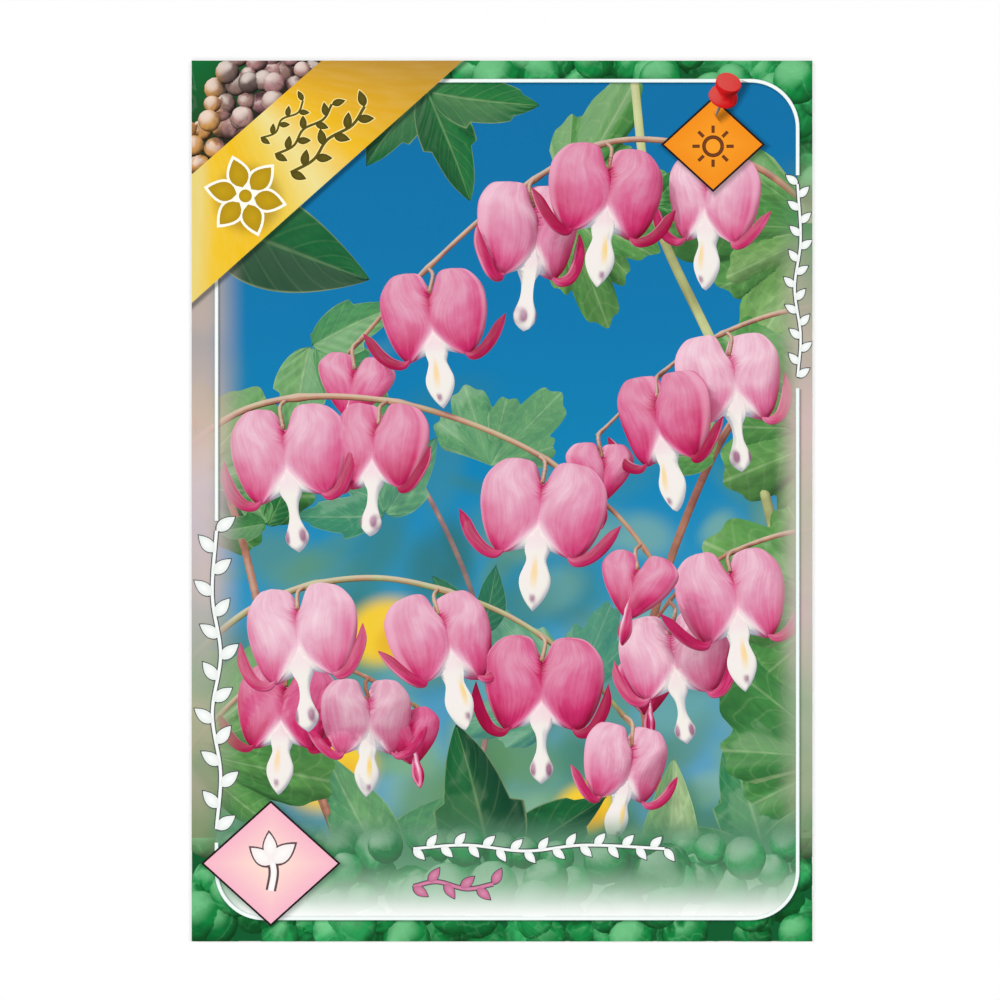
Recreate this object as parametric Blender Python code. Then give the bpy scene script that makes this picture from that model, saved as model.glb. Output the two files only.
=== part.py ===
"""Printed picture card for a bleeding heart plant, modelled in metres with +Z up.

The card is one piece of coated paperboard, cut square and lying on its back.
+X runs across the card and +Y up its picture, and the front faces +Z.
The origin is the middle of the back, on the surface that the card lies on.
"""

import math

import bmesh
import bpy

CARD_WIDTH = 0.105
CARD_HEIGHT = 0.149
BOARD_THICKNESS = 0.0005

# A guillotine leaves the cut edges a little soft, and the four corners barely rounded.
CORNER_RADIUS = 0.0003
CORNER_STEPS = 3
EDGE_SOFTENING = 0.00006
EDGE_STEPS = 2

# The picture lies inside a printed line with round corners, this far from the cut edges.
FRAME_LEFT = 0.0042
FRAME_RIGHT = 0.0025
FRAME_TOP = 0.0034
FRAME_BOTTOM = 0.0039
FRAME_RADIUS = 0.0080
FRAME_STEPS = 6

# Linear colours of the board's plain faces and of the two large printed areas.
BORDER_GREEN = (0.010, 0.170, 0.050, 1.0)
PICTURE_BLUE = (0.010, 0.200, 0.400, 1.0)
BOARD_WHITE = (0.800, 0.790, 0.760, 1.0)
FILM_ROUGHNESS = 0.22
BOARD_ROUGHNESS = 0.85


def clear_scene():
    for obj in list(bpy.data.objects):
        bpy.data.objects.remove(obj)


def surface(name, colour, roughness):
    """A non-metallic surface of one colour."""
    material = bpy.data.materials.new(name)
    material.use_nodes = True
    shader = material.node_tree.nodes["Principled BSDF"]
    shader.inputs["Base Color"].default_value = colour
    shader.inputs["Roughness"].default_value = roughness
    shader.inputs["Metallic"].default_value = 0.0
    return material


def rounded_rectangle(left, bottom, right, top, radius, steps):
    """Corner points of a rectangle with round corners, anticlockwise from the lower right."""
    centres = (
        (right - radius, bottom + radius, -90),
        (right - radius, top - radius, 0),
        (left + radius, top - radius, 90),
        (left + radius, bottom + radius, 180),
    )
    points = []
    for x, y, start in centres:
        for step in range(steps + 1):
            angle = math.radians(start + 90 * step / steps)
            points.append((x + radius * math.cos(angle), y + radius * math.sin(angle)))
    return points


def card_mesh():
    """The board: an extruded outline whose front is divided by the printed frame line."""
    half_width = CARD_WIDTH / 2
    half_height = CARD_HEIGHT / 2
    cut = rounded_rectangle(
        -half_width, -half_height, half_width, half_height, CORNER_RADIUS, CORNER_STEPS
    )
    frame = rounded_rectangle(
        -half_width + FRAME_LEFT,
        -half_height + FRAME_BOTTOM,
        half_width - FRAME_RIGHT,
        half_height - FRAME_TOP,
        FRAME_RADIUS,
        FRAME_STEPS,
    )
    soft = EDGE_SOFTENING
    bm = bmesh.new()
    rings = []
    for step in range(2 * EDGE_STEPS + 2):
        # The side goes up the back's soft edge and then over the front's.
        upper = step > EDGE_STEPS
        turn = step - EDGE_STEPS - 1 if upper else EDGE_STEPS - step
        angle = math.radians(90 * turn / EDGE_STEPS)
        inset = soft * (1 - math.cos(angle))
        rise = soft * (1 - math.sin(angle))
        height = BOARD_THICKNESS - rise if upper else rise
        shrink_x = 1 - inset / half_width
        shrink_y = 1 - inset / half_height
        rings.append([bm.verts.new((x * shrink_x, y * shrink_y, height)) for x, y in cut])
    for lower, upper in zip(rings, rings[1:]):
        for i in range(len(cut)):
            j = (i + 1) % len(cut)
            bm.faces.new((lower[i], lower[j], upper[j], upper[i]))
    bm.faces.new(reversed(rings[0]))

    line = [bm.verts.new((x, y, BOARD_THICKNESS)) for x, y in frame]
    picture = bm.faces.new(line)
    edges = [bm.edges.get((a, b)) for ring in (rings[-1], line) for a, b in zip(ring, ring[1:] + ring[:1])]
    border = bmesh.ops.triangle_fill(bm, use_beauty=True, use_dissolve=False, edges=edges)
    added = [face for face in border["geom"] if isinstance(face, bmesh.types.BMFace)]
    for face in added:
        face.normal_update()
        if face.normal.z < 0:
            face.normal_flip()
        face.material_index = 1
    picture.material_index = 2

    mesh = bpy.data.meshes.new("card")
    bm.to_mesh(mesh)
    bm.free()
    return mesh


def build_card():
    mesh = card_mesh()
    mesh.materials.append(surface("board_white", BOARD_WHITE, BOARD_ROUGHNESS))
    mesh.materials.append(surface("border_green", BORDER_GREEN, FILM_ROUGHNESS))
    mesh.materials.append(surface("picture_blue", PICTURE_BLUE, FILM_ROUGHNESS))
    card = bpy.data.objects.new("card", mesh)
    bpy.context.scene.collection.objects.link(card)
    return card


clear_scene()
build_card()
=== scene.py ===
"""Looks of a printed plant picture card, laid over its board.

The picture is first built in depth, in millimetres: heart flowers, leaves, stems and bulbs.
It is lit once, then pressed into a layer of ink a few hundredths of a millimetre thick.
"""

import logging
import math
from dataclasses import dataclass, field
from enum import Enum

import bpy
import numpy as np
from mathutils import Euler, Matrix, Vector
from mathutils.bvhtree import BVHTree


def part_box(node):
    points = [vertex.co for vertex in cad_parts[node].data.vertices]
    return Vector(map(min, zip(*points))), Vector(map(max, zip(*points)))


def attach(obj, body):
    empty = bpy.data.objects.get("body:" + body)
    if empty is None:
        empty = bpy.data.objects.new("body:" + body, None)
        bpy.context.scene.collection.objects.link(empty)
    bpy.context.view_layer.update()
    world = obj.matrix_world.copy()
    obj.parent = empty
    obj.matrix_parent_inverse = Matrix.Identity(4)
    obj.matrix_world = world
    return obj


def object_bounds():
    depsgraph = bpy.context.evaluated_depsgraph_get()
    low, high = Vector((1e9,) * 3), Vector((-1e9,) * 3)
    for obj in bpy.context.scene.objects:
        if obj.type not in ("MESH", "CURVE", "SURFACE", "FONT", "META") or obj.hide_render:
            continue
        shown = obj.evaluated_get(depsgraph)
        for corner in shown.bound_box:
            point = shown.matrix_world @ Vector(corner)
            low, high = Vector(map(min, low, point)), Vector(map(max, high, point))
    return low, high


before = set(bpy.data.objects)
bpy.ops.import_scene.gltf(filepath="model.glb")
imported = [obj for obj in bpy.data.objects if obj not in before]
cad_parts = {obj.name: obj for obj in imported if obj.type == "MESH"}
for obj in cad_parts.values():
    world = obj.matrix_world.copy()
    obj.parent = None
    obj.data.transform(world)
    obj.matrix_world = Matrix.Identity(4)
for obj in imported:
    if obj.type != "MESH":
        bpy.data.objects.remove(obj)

LOG = logging.getLogger("picture_card")
CAD_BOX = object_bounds()
MM = 0.001

Colour = tuple[float, float, float]
Spot = tuple[float, float]
Place = tuple[float, float, float]
Mesh = bpy.types.Mesh
Material = bpy.types.Material
NodeTree = bpy.types.NodeTree
Socket = bpy.types.NodeSocket

# Marks that every point of the picture carries for its finish.
MARKS = ("along", "across", "tint", "accent", "blush", "haze", "tone")

# Light of the picture itself, from the upper left and the front, and how far its shades reach.
KEY_LIGHT = Vector((-0.42, 0.55, 0.72)).normalized()
KEY_STRENGTH = 0.62
KEY_WRAP = 0.20
FILL_STRENGTH = 0.46
SHADOW_DEPTH = 0.72
SHADE_REACH = 11.0
SHADOW_REACH = 45.0

# How far the light's rays spread, and how strongly a point's rays turn out from its surface.
KEY_SPREAD = 0.10
OUTWARD_PULL = 1.15

# Rays that find how open each point's sky is, how far off it they start, and how near a back is passed.
RAYS = 10
RAY_START = 0.30
BACK_REACH = 2.5

# How many shapes there are of each kind of flower, and the size that a bud stays under.
VARIANTS = 3
BUD_SIZE = 12.5


def ink(red: int, green: int, blue: int) -> Colour:
    """Gives the linear colour of a printed ink.

    Args:
        red: its red on a screen, 0 to 255.
        green: its green.
        blue: its blue.

    Returns:
        The colour.
    """
    parts = []
    for value in (red, green, blue):
        share = value / 255
        parts.append(share / 12.92 if share <= 0.04045 else ((share + 0.055) / 1.055) ** 2.4)
    return parts[0], parts[1], parts[2]


# Blue that things far back in the picture fade to.
HAZE_BLUE = ink(70, 150, 168)


def ease(low: float, high: float, value: np.ndarray) -> np.ndarray:
    """Rises smoothly from 0 at low to 1 at high."""
    share = np.clip((value - low) / (high - low), 0.0, 1.0)
    return share * share * (3 - 2 * share)


def bump(value: np.ndarray, middle: float, width: float) -> np.ndarray:
    """Gives a smooth bump of height 1 round a middle."""
    return np.exp(-(((value - middle) / width) ** 2))


def bend_through(knots: list[tuple[float, ...]], count: int) -> np.ndarray:
    """Runs a smooth line through some knots.

    Args:
        knots: the points that the line passes.
        count: how many points the line gets.

    Returns:
        An array of count points.
    """
    fixed = np.array(knots, dtype=float)
    padded = np.vstack([2 * fixed[0] - fixed[1], fixed, 2 * fixed[-1] - fixed[-2]])
    place = np.linspace(0, len(fixed) - 1, count)
    start = np.minimum(place.astype(int), len(fixed) - 2)
    t = (place - start)[:, None]
    before, here, there, beyond = (padded[start + i] for i in range(4))
    return 0.5 * (
        2 * here
        + (there - before) * t
        + (2 * before - 5 * here + 4 * there - beyond) * t**2
        + (3 * here - before - 3 * there + beyond) * t**3
    )


def grid_faces(rows: int, columns: int, closed: bool) -> np.ndarray:
    """Lists the triangles of a grid of points that are numbered row by row.

    Args:
        rows: rows of points.
        columns: points in a row.
        closed: whether each row is joined round to its start.

    Returns:
        Three point numbers for each triangle.
    """
    steps = columns if closed else columns - 1
    row, column = np.meshgrid(np.arange(rows - 1), np.arange(steps), indexing="ij")
    nearby = (column + 1) % columns
    a = (row * columns + column).ravel()
    b = (row * columns + nearby).ravel()
    c = ((row + 1) * columns + nearby).ravel()
    d = ((row + 1) * columns + column).ravel()
    return np.vstack([np.column_stack([a, b, c]), np.column_stack([a, c, d])])


def tube_faces(rings: int, sides: int) -> np.ndarray:
    """Lists the triangles of a tube of rings, closed by a first and a last point.

    Args:
        rings: rings of points, numbered first.
        sides: points in a ring.

    Returns:
        Three point numbers for each triangle. The two end points come after the rings.
    """
    ring = np.arange(sides)
    following = (ring + 1) % sides
    last = (rings - 1) * sides
    low = rings * sides
    return np.vstack(
        [
            grid_faces(rings, sides, True),
            np.column_stack([np.full(sides, low), following, ring]),
            np.column_stack([np.full(sides, low + 1), last + ring, last + following]),
        ]
    )


@dataclass(frozen=True)
class Pane:
    """A rectangle of the card whose corners may be round, in millimetres from its middle."""

    left: float
    bottom: float
    right: float
    top: float
    radius: float = 0.0

    def square(self) -> list[Spot]:
        """Gives the four corners, anticlockwise from the lower left."""
        left, bottom, right, top = self.left, self.bottom, self.right, self.top
        return [(left, bottom), (right, bottom), (right, top), (left, top)]

    def inset(self, edge: float, radius: float) -> "Pane":
        """Gives the pane less a margin, with round corners."""
        return Pane(self.left + edge, self.bottom + edge, self.right - edge, self.top - edge, radius)

    def rounds(self) -> list[tuple[float, float, int]]:
        """Gives the centre and the first angle of each round corner, from the upper right.

        Returns:
            For each corner its centre and the angle in degrees that its round starts at.
        """
        left, right = self.left + self.radius, self.right - self.radius
        bottom, top = self.bottom + self.radius, self.top - self.radius
        return [(right, top, 0), (left, top, 90), (left, bottom, 180), (right, bottom, 270)]

    def cuts(self, steps: int = 8) -> list[Place]:
        """Lists the straight cuts that leave the pane.

        Args:
            steps: parts that a round corner is cut in.

        Returns:
            For each cut its outward direction in x and y, and its distance from the middle.
        """
        cuts = [(-1, 0, -self.left), (1, 0, self.right), (0, -1, -self.bottom), (0, 1, self.top)]
        if self.radius:
            for x, y, start in self.rounds():
                for step in range(1, steps):
                    angle = math.radians(start + 90 * step / steps)
                    nx, ny = math.cos(angle), math.sin(angle)
                    cuts.append((nx, ny, x * nx + y * ny + self.radius))
        return cuts

    def path(self, steps: int = 16) -> np.ndarray:
        """Gives the closed line round the pane.

        Args:
            steps: parts of a round corner.

        Returns:
            Its points, anticlockwise from the right side, the first again at the end.
        """
        points = []
        for x, y, start in self.rounds():
            for step in range(steps + 1):
                angle = math.radians(start + 90 * step / steps)
                points.append((x + self.radius * math.cos(angle), y + self.radius * math.sin(angle)))
        return np.array([*points, points[0]])

    def sheet(self, rows: int, columns: int) -> "Relief":
        """Lays a flat grid of points over the pane.

        Args:
            rows: rows of points up the card.
            columns: points across it.

        Returns:
            The flat sheet.
        """
        up = np.linspace(self.bottom, self.top, rows)
        y, x = np.meshgrid(up, np.linspace(self.left, self.right, columns), indexing="ij")
        points = np.column_stack([x.ravel(), y.ravel(), np.zeros(x.size)])
        return Relief(points, grid_faces(rows, columns, False))


# The card, the framed picture on it, and the two strips of picture beside the frame.
CARD = Pane(*(round(part / MM, 3) for corner in CAD_BOX for part in corner[:2]))
FRAME = Pane(-48.3, -70.6, 50.0, 71.1, 8.0)
STRIP_BOTTOM = -57.0
STRIP_TOP = 47.0
LEFT_STRIP = Pane(CARD.left, STRIP_BOTTOM, FRAME.left, STRIP_TOP)
RIGHT_STRIP = Pane(FRAME.right, STRIP_BOTTOM, CARD.right, STRIP_TOP)
PICTURE = (FRAME, LEFT_STRIP, RIGHT_STRIP)


@dataclass
class Relief:
    """A part of the picture in depth: points in millimetres, triangles, and marks for its finish."""

    points: np.ndarray
    faces: np.ndarray
    marks: dict[str, np.ndarray] = field(default_factory=dict)

    def __post_init__(self) -> None:
        """Gives every mark that wasn't set a value of 0."""
        count = len(self.points)
        filled = {}
        for name in MARKS:
            values = self.marks.get(name, 0.0)
            filled[name] = np.broadcast_to(np.asarray(values, dtype=float), (count,)).copy()
        self.marks = filled

    @staticmethod
    def joined(parts: list["Relief"]) -> "Relief":
        """Puts several reliefs into one.

        Args:
            parts: the reliefs.

        Returns:
            The whole.
        """
        offsets = np.cumsum([0] + [len(part.points) for part in parts[:-1]])
        return Relief(
            np.vstack([part.points for part in parts]),
            np.vstack([part.faces + offset for part, offset in zip(parts, offsets)]),
            {name: np.concatenate([part.marks[name] for part in parts]) for name in MARKS},
        )

    @staticmethod
    def stacked(parts: list["Relief"]) -> "Relief":
        """Puts flat reliefs that overlap into one, each a unit above the last."""
        return Relief.joined([part.moved(Matrix.Translation((0, 0, i))) for i, part in enumerate(parts)])

    def moved(self, matrix: Matrix) -> "Relief":
        """Gives the relief moved and turned by a matrix."""
        table = np.array(matrix)
        return Relief(self.points @ table[:3, :3].T + table[:3, 3], self.faces, self.marks)

    def mirrored(self) -> "Relief":
        """Gives the relief's mirror image from left to right, with its faces still outward.

        Returns:
            The mirror image.
        """
        marks = dict(self.marks)
        marks["across"] = -marks["across"]
        return Relief(self.points * (-1, 1, 1), self.faces[:, ::-1], marks)

    def normals(self) -> tuple[np.ndarray, np.ndarray]:
        """Measures the outward directions.

        Returns:
            The unit normals of the faces, and those of the points.
        """
        corners = self.points[self.faces]
        across = np.cross(corners[:, 1] - corners[:, 0], corners[:, 2] - corners[:, 0])
        summed = np.zeros_like(self.points)
        for corner in range(3):
            np.add.at(summed, self.faces[:, corner], across)
        face_length = np.linalg.norm(across, axis=1, keepdims=True) + 1e-12
        point_length = np.linalg.norm(summed, axis=1, keepdims=True) + 1e-12
        return across / face_length, summed / point_length

    def upward(self) -> "Relief":
        """Turns the faces of a flat relief to the front.

        Returns:
            The same relief.
        """
        if self.normals()[0][:, 2].mean() < 0:
            self.faces = self.faces[:, ::-1]
        return self

    def picked(self, wanted: np.ndarray) -> "Relief":
        """Keeps some faces and drops points that none of them uses.

        Args:
            wanted: for each face whether it stays.

        Returns:
            The rest of the relief.
        """
        faces = self.faces[wanted]
        used, turned = np.unique(faces, return_inverse=True)
        marks = {name: values[used] for name, values in self.marks.items()}
        return Relief(self.points[used], turned.reshape(faces.shape), marks)

    def facing(self) -> "Relief":
        """Keeps the faces that can be seen from the front."""
        return self.picked(self.normals()[0][:, 2] > 0.01)

    def cut(self, line: Place) -> "Relief":
        """Cuts the relief along a straight line over the card.

        Args:
            line: the outward direction in x and y, and its distance from the middle.

        Returns:
            What lies on the inner side.
        """
        table = np.column_stack([self.points, *self.marks.values()])
        side = line[2] - table[:, 0] * line[0] - table[:, 1] * line[1]
        inside = side >= 0
        hits = inside[self.faces].sum(axis=1)
        if np.all(hits == 3):
            return self
        rows: list[np.ndarray] = []
        known: dict[tuple[int, int], int] = {}
        pieces: list[tuple[int, int, int]] = []
        for face in self.faces[(hits == 1) | (hits == 2)].tolist():
            ring: list[int] = []
            for a, b in zip(face, face[1:] + face[:1]):
                if inside[a]:
                    ring.append(a)
                if inside[a] != inside[b]:
                    key = (min(a, b), max(a, b))
                    if key not in known:
                        first, second = key
                        share = side[first] / (side[first] - side[second])
                        rows.append(table[first] + (table[second] - table[first]) * share)
                        known[key] = len(table) + len(rows) - 1
                    ring.append(known[key])
            pieces.extend((ring[0], ring[i], ring[i + 1]) for i in range(1, len(ring) - 1))
        if rows:
            table = np.vstack([table, np.array(rows)])
        faces = np.vstack([self.faces[hits == 3], np.array(pieces, dtype=int).reshape(-1, 3)])
        marks = {name: table[:, 3 + i] for i, name in enumerate(self.marks)}
        return Relief(table[:, :3], faces, marks).picked(np.ones(len(faces), dtype=bool))

    def within(self, *panes: Pane) -> "Relief":
        """Cuts the relief to some panes of the card.

        Args:
            panes: the panes, which don't overlap.

        Returns:
            What lies in any of them.
        """
        parts = []
        for pane in panes:
            part = self
            for line in pane.cuts():
                part = part.cut(line)
                if not len(part.faces):
                    break
            parts.append(part)
        return Relief.joined(parts)

    def mesh(self, name: str, low: float = 0.0, squeeze: float = 1.0, unit: float = 1.0) -> Mesh:
        """Makes a Blender mesh.

        Args:
            name: the mesh's name.
            low: height of the relief's zero, in millimetres.
            squeeze: factor on the depth.
            unit: metres for one unit of the relief.

        Returns:
            The mesh, with the marks as point attributes.
        """
        place = self.points * (1, 1, squeeze)
        place[:, 2] += low
        mesh = bpy.data.meshes.new(name)
        mesh.from_pydata((place * unit).tolist(), [], self.faces.tolist())
        mesh.polygons.foreach_set("use_smooth", [True] * len(self.faces))
        for mark, values in self.marks.items():
            layer = mesh.attributes.new(mark, "FLOAT", "POINT")
            layer.data.foreach_set("value", values.astype(np.float32))
        mesh.update()
        return mesh

    @staticmethod
    def of_mesh(mesh: Mesh) -> "Relief":
        """Reads a mesh and its marks back into a relief.

        Args:
            mesh: the mesh, whose number "own" becomes the blush.

        Returns:
            The relief.
        """
        count = len(mesh.vertices)
        points = np.empty(count * 3)
        mesh.vertices.foreach_get("co", points)
        mesh.calc_loop_triangles()
        faces = np.empty(len(mesh.loop_triangles) * 3, dtype=np.int32)
        mesh.loop_triangles.foreach_get("vertices", faces)
        marks = {}
        for source, mark in (*zip(MARKS, MARKS), ("own", "blush")):
            layer = mesh.attributes.get(source)
            if layer is not None and layer.domain == "POINT" and layer.data_type == "FLOAT":
                marks[mark] = np.empty(count)
                layer.data.foreach_get("value", marks[mark])
        return Relief(points.reshape(-1, 3), faces.reshape(-1, 3).astype(int), marks)


def loft(
    rails: tuple[np.ndarray, np.ndarray],
    depth: np.ndarray,
    columns: int,
    fullness: float = 0.85,
) -> Relief:
    """Stretches a closed skin between two rails.

    Args:
        rails: the two edges, as arrays of points that meet at both ends.
        depth: half the thickness at each row.
        columns: points round each section.
        fullness: 1 for an ellipse, less for a fuller section.

    Returns:
        The skin, with its length as along and its width as across.
    """
    first, second = rails
    rows = len(first)
    centre = (first + second) / 2
    half = (first - second) / 2
    turn = np.linspace(0, 2 * math.pi, columns, endpoint=False)
    sideways = np.sign(np.cos(turn)) * np.abs(np.cos(turn)) ** fullness
    forward = np.sign(np.sin(turn)) * np.abs(np.sin(turn)) ** fullness
    out = np.cross(half, np.gradient(centre, axis=0))
    out[:, 2] = np.where(np.abs(out[:, 2]) < 1e-9, 1.0, out[:, 2])
    out *= np.sign(out[:, 2:3])
    out[:, 2] += 1e-6
    out /= np.linalg.norm(out, axis=1, keepdims=True)
    inner = centre[1:-1, None] + half[1:-1, None] * sideways[None, :, None]
    inner = inner + (out[1:-1] * depth[1:-1, None])[:, None] * forward[None, :, None]
    points = np.vstack([inner.reshape(-1, 3), centre[:1], centre[-1:]])
    share = np.linspace(0, 1, rows)
    along = np.concatenate([np.repeat(share[1:-1], columns), (0.0, 1.0)])
    across = np.concatenate([np.tile(sideways, rows - 2), (0.0, 0.0)])
    result = Relief(points, tube_faces(rows - 2, columns), {"along": along, "across": across})
    face_normals, _ = result.normals()
    middle = result.points[result.faces].mean(axis=1)
    nearest = np.clip((along[result.faces].mean(axis=1) * (rows - 1)).round().astype(int), 0, rows - 1)
    if np.sum(face_normals * (middle - centre[nearest])) < 0:
        result.faces = result.faces[:, ::-1]
    return result


def blade(knots: list[tuple[float, ...]], halves: list[float], depth: float, rows: int, sides: int) -> Relief:
    """Builds a closed flat blade along a line.

    Args:
        knots: the line's points.
        halves: its half widths at even steps from start to end.
        depth: half its thickness where it is broadest.
        rows: sections along the line.
        sides: points round a section.

    Returns:
        The blade.
    """
    line = bend_through(knots, rows)
    half = np.maximum(bend_through([(value,) for value in halves], rows)[:, 0], 0.0)
    half[[0, -1]] = 0.0
    ahead = np.gradient(line, axis=0)
    side = np.column_stack([ahead[:, 1], -ahead[:, 0], np.zeros(rows)])
    side *= (half / np.linalg.norm(side, axis=1))[:, None]
    return loft((line + side, line - side), depth * np.sqrt(half / half.max()), sides, 0.95)


# Node trees


class Tree:
    """A node tree that is written one joined node at a time."""

    def __init__(self, tree: NodeTree) -> None:
        """Wraps a tree."""
        self.tree = tree

    def fill(self, socket: Socket, value: object) -> None:
        """Fills an input.

        Args:
            socket: the input.
            value: a node or a socket to join to it, or its own value.
        """
        if isinstance(value, bpy.types.Node):
            value = value.outputs[0]
        if isinstance(value, Socket):
            self.tree.links.new(value, socket)
        elif socket.type == "RGBA":
            socket.default_value = (*value, 1.0)
        else:
            socket.default_value = value

    def add(self, kind: str, inputs: dict | None = None, **settings: object) -> bpy.types.Node:
        """Adds a node.

        Args:
            kind: the node's type name.
            inputs: values or sockets for its inputs, by name or number.
            settings: its own properties.

        Returns:
            The node.
        """
        node = self.tree.nodes.new(kind)
        for name, value in settings.items():
            setattr(node, name, value)
        for key, value in (inputs or {}).items():
            self.fill(node.inputs[key], value)
        return node

    def sum(self, operation: str, *values: object) -> Socket:
        """Works out one number from others."""
        return self.add("ShaderNodeMath", dict(enumerate(values)), operation=operation).outputs[0]

    def sway(self, value: Socket, amount: float, base: Socket) -> Socket:
        """Adds an amount times a value's distance from one half to a base."""
        return self.sum("MULTIPLY_ADD", self.sum("SUBTRACT", value, 0.5), amount, base)

    def rise(self, value: object, low: float, high: float, top: float = 1.0) -> Socket:
        """Rises smoothly from 0 at low to top at high."""
        inputs = {"Value": value, "From Min": low, "From Max": high, "To Min": 0.0, "To Max": top}
        return self.add("ShaderNodeMapRange", inputs, interpolation_type="SMOOTHSTEP").outputs[0]

    def mix(self, share: object, first: object, second: object, blend: str = "MIX") -> Socket:
        """Mixes two colours."""
        inputs = {0: share, 6: first, 7: second}
        return self.add("ShaderNodeMix", inputs, data_type="RGBA", blend_type=blend).outputs[2]

    def ramp(self, value: Socket, stops: list[tuple[float, Colour]]) -> Socket:
        """Turns a number into a colour.

        Args:
            value: the number.
            stops: places on the way from 0 to 1, each with its colour.

        Returns:
            The colour.
        """
        node = self.add("ShaderNodeValToRGB", {0: value})
        elements = node.color_ramp.elements
        for element, (place, colour) in zip(elements, (stops[0], stops[-1])):
            element.position = place
            element.color = (*colour, 1.0)
        for place, colour in stops[1:-1]:
            elements.new(place).color = (*colour, 1.0)
        return node.outputs[0]

    def mark(self, name: str) -> Socket:
        """Reads one of the picture's marks."""
        return self.add("ShaderNodeAttribute", attribute_name=name).outputs["Fac"]

    def place(self) -> Socket:
        """Gives the point's own place, in metres."""
        return self.add("ShaderNodeTexCoord").outputs["Object"]

    def axis(self, index: int) -> Socket:
        """Gives the point's place across the card for index 0, or up the card for index 1."""
        return self.add("ShaderNodeSeparateXYZ", {0: self.place()}).outputs[index]

    def noise(self, scale: float, detail: float, place: Socket | None = None) -> Socket:
        """Gives soft noise at the point's own place, or at another."""
        inputs = {"Vector": self.place() if place is None else place, "Scale": scale, "Detail": detail}
        return self.add("ShaderNodeTexNoise", inputs).outputs[0]

    def use(self, group: NodeTree, inputs: dict) -> Socket:
        """Places a group and gives its first output."""
        return self.add("ShaderNodeGroup", inputs, node_tree=group).outputs[0]


class SocketKind(Enum):
    """Kinds of group input and output that the trees here use."""

    GEOMETRY = "NodeSocketGeometry"
    NUMBER = "NodeSocketFloat"
    COUNT = "NodeSocketInt"
    COLOUR = "NodeSocketColor"
    OBJECT = "NodeSocketObject"
    COLLECTION = "NodeSocketCollection"
    MATERIAL = "NodeSocketMaterial"


class GroupTree(Tree):
    """A node group with named inputs and outputs."""

    def __init__(self, name: str, takes: dict[str, SocketKind], gives: dict[str, SocketKind]) -> None:
        """Starts the group.

        Args:
            name: its name.
            takes: its inputs.
            gives: its outputs. With a geometry among them it is a geometry tree.
        """
        shapes = SocketKind.GEOMETRY in gives.values()
        super().__init__(bpy.data.node_groups.new(name, "GeometryNodeTree" if shapes else "ShaderNodeTree"))
        for way, sockets in (("INPUT", takes), ("OUTPUT", gives)):
            for label, socket in sockets.items():
                self.tree.interface.new_socket(label, in_out=way, socket_type=socket.value)
        self.start = self.add("NodeGroupInput").outputs
        self.end = self.add("NodeGroupOutput").inputs

    def ended(self, *results: object) -> NodeTree:
        """Joins the results to the outputs in their order and gives the group.

        Args:
            results: a node, a socket or a value for each output.

        Returns:
            The group.
        """
        for socket, result in zip(self.end, results):
            self.fill(socket, result)
        return self.tree

    def coated(self, shapes: bpy.types.Node) -> NodeTree:
        """Makes the copies real, gives them the finish and ends the group.

        Args:
            shapes: the node that gives the copies.

        Returns:
            The group.
        """
        real = self.add("GeometryNodeRealizeInstances", {"Geometry": shapes})
        values = {"Geometry": real, "Material": self.start["Finish"]}
        return self.ended(self.add("GeometryNodeSetMaterial", values))

    def marked(self, shape: object, name: str, value: Socket) -> bpy.types.Node:
        """Stores a number at each of a shape's points."""
        inputs = {"Geometry": shape, "Name": name, "Value": value}
        return self.add("GeometryNodeStoreNamedAttribute", inputs, data_type="FLOAT", domain="POINT")

    def stored(self, name: str, kind: str) -> Socket:
        """Reads a value that each point holds."""
        return self.add("GeometryNodeInputNamedAttribute", {"Name": name}, data_type=kind).outputs[0]

    def drawn(self, kind: str, low: object, high: object, seed: object) -> Socket:
        """Draws a value for each point.

        Args:
            kind: FLOAT_VECTOR, FLOAT or INT.
            low: the least that it may be.
            high: the most.
            seed: the seed of the draw.

        Returns:
            The value.
        """
        index = ("FLOAT_VECTOR", "FLOAT", "INT").index(kind)
        inputs = {2 * index: low, 2 * index + 1: high, "Seed": seed}
        return self.add("FunctionNodeRandomValue", inputs, data_type=kind).outputs[index]

    def turned(self, angles: Socket) -> bpy.types.Node:
        """Makes a rotation of Euler angles."""
        return self.add("FunctionNodeEulerToRotation", {0: angles})

    def copies(self, points: object, kind: Socket, angles: Socket, size: Socket) -> bpy.types.Node:
        """Sets a copy of one of the group's shapes on each point.

        Args:
            points: the points.
            kind: the number of the shape.
            angles: its turn.
            size: its scale.

        Returns:
            The node that gives the copies.
        """
        choice = {"Collection": self.start["Shapes"], "Separate Children": True, "Reset Children": True}
        inputs = {
            "Points": points,
            "Instance": self.add("GeometryNodeCollectionInfo", choice),
            "Pick Instance": True,
            "Instance Index": kind,
            "Rotation": self.turned(angles),
            "Scale": size,
        }
        return self.add("GeometryNodeInstanceOnPoints", inputs)


def grown(source: bpy.types.ID, group: NodeTree, values: dict[str, object], name: str) -> Relief:
    """Runs a geometry node group on a mesh or a curve and keeps the result.

    Args:
        source: the mesh or curve that it starts from.
        group: the geometry node group.
        values: its inputs by name.
        name: what is grown.

    Returns:
        The result, as plain triangles.
    """
    holder = bpy.data.objects.new(name + "_source", source)
    bpy.context.scene.collection.objects.link(holder)
    modifier = holder.modifiers.new("grow", "NODES")
    modifier.node_group = group
    for item in group.interface.items_tree:
        if item.item_type == "SOCKET" and item.in_out == "INPUT" and item.name in values:
            modifier[item.identifier] = values[item.name]
    depsgraph = bpy.context.evaluated_depsgraph_get()
    depsgraph.update()
    mesh = bpy.data.meshes.new_from_object(holder.evaluated_get(depsgraph), depsgraph=depsgraph)
    holder.modifiers.remove(modifier)
    bpy.data.objects.remove(holder)
    result = Relief.of_mesh(mesh)
    bpy.data.meshes.remove(mesh)
    return result


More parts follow.
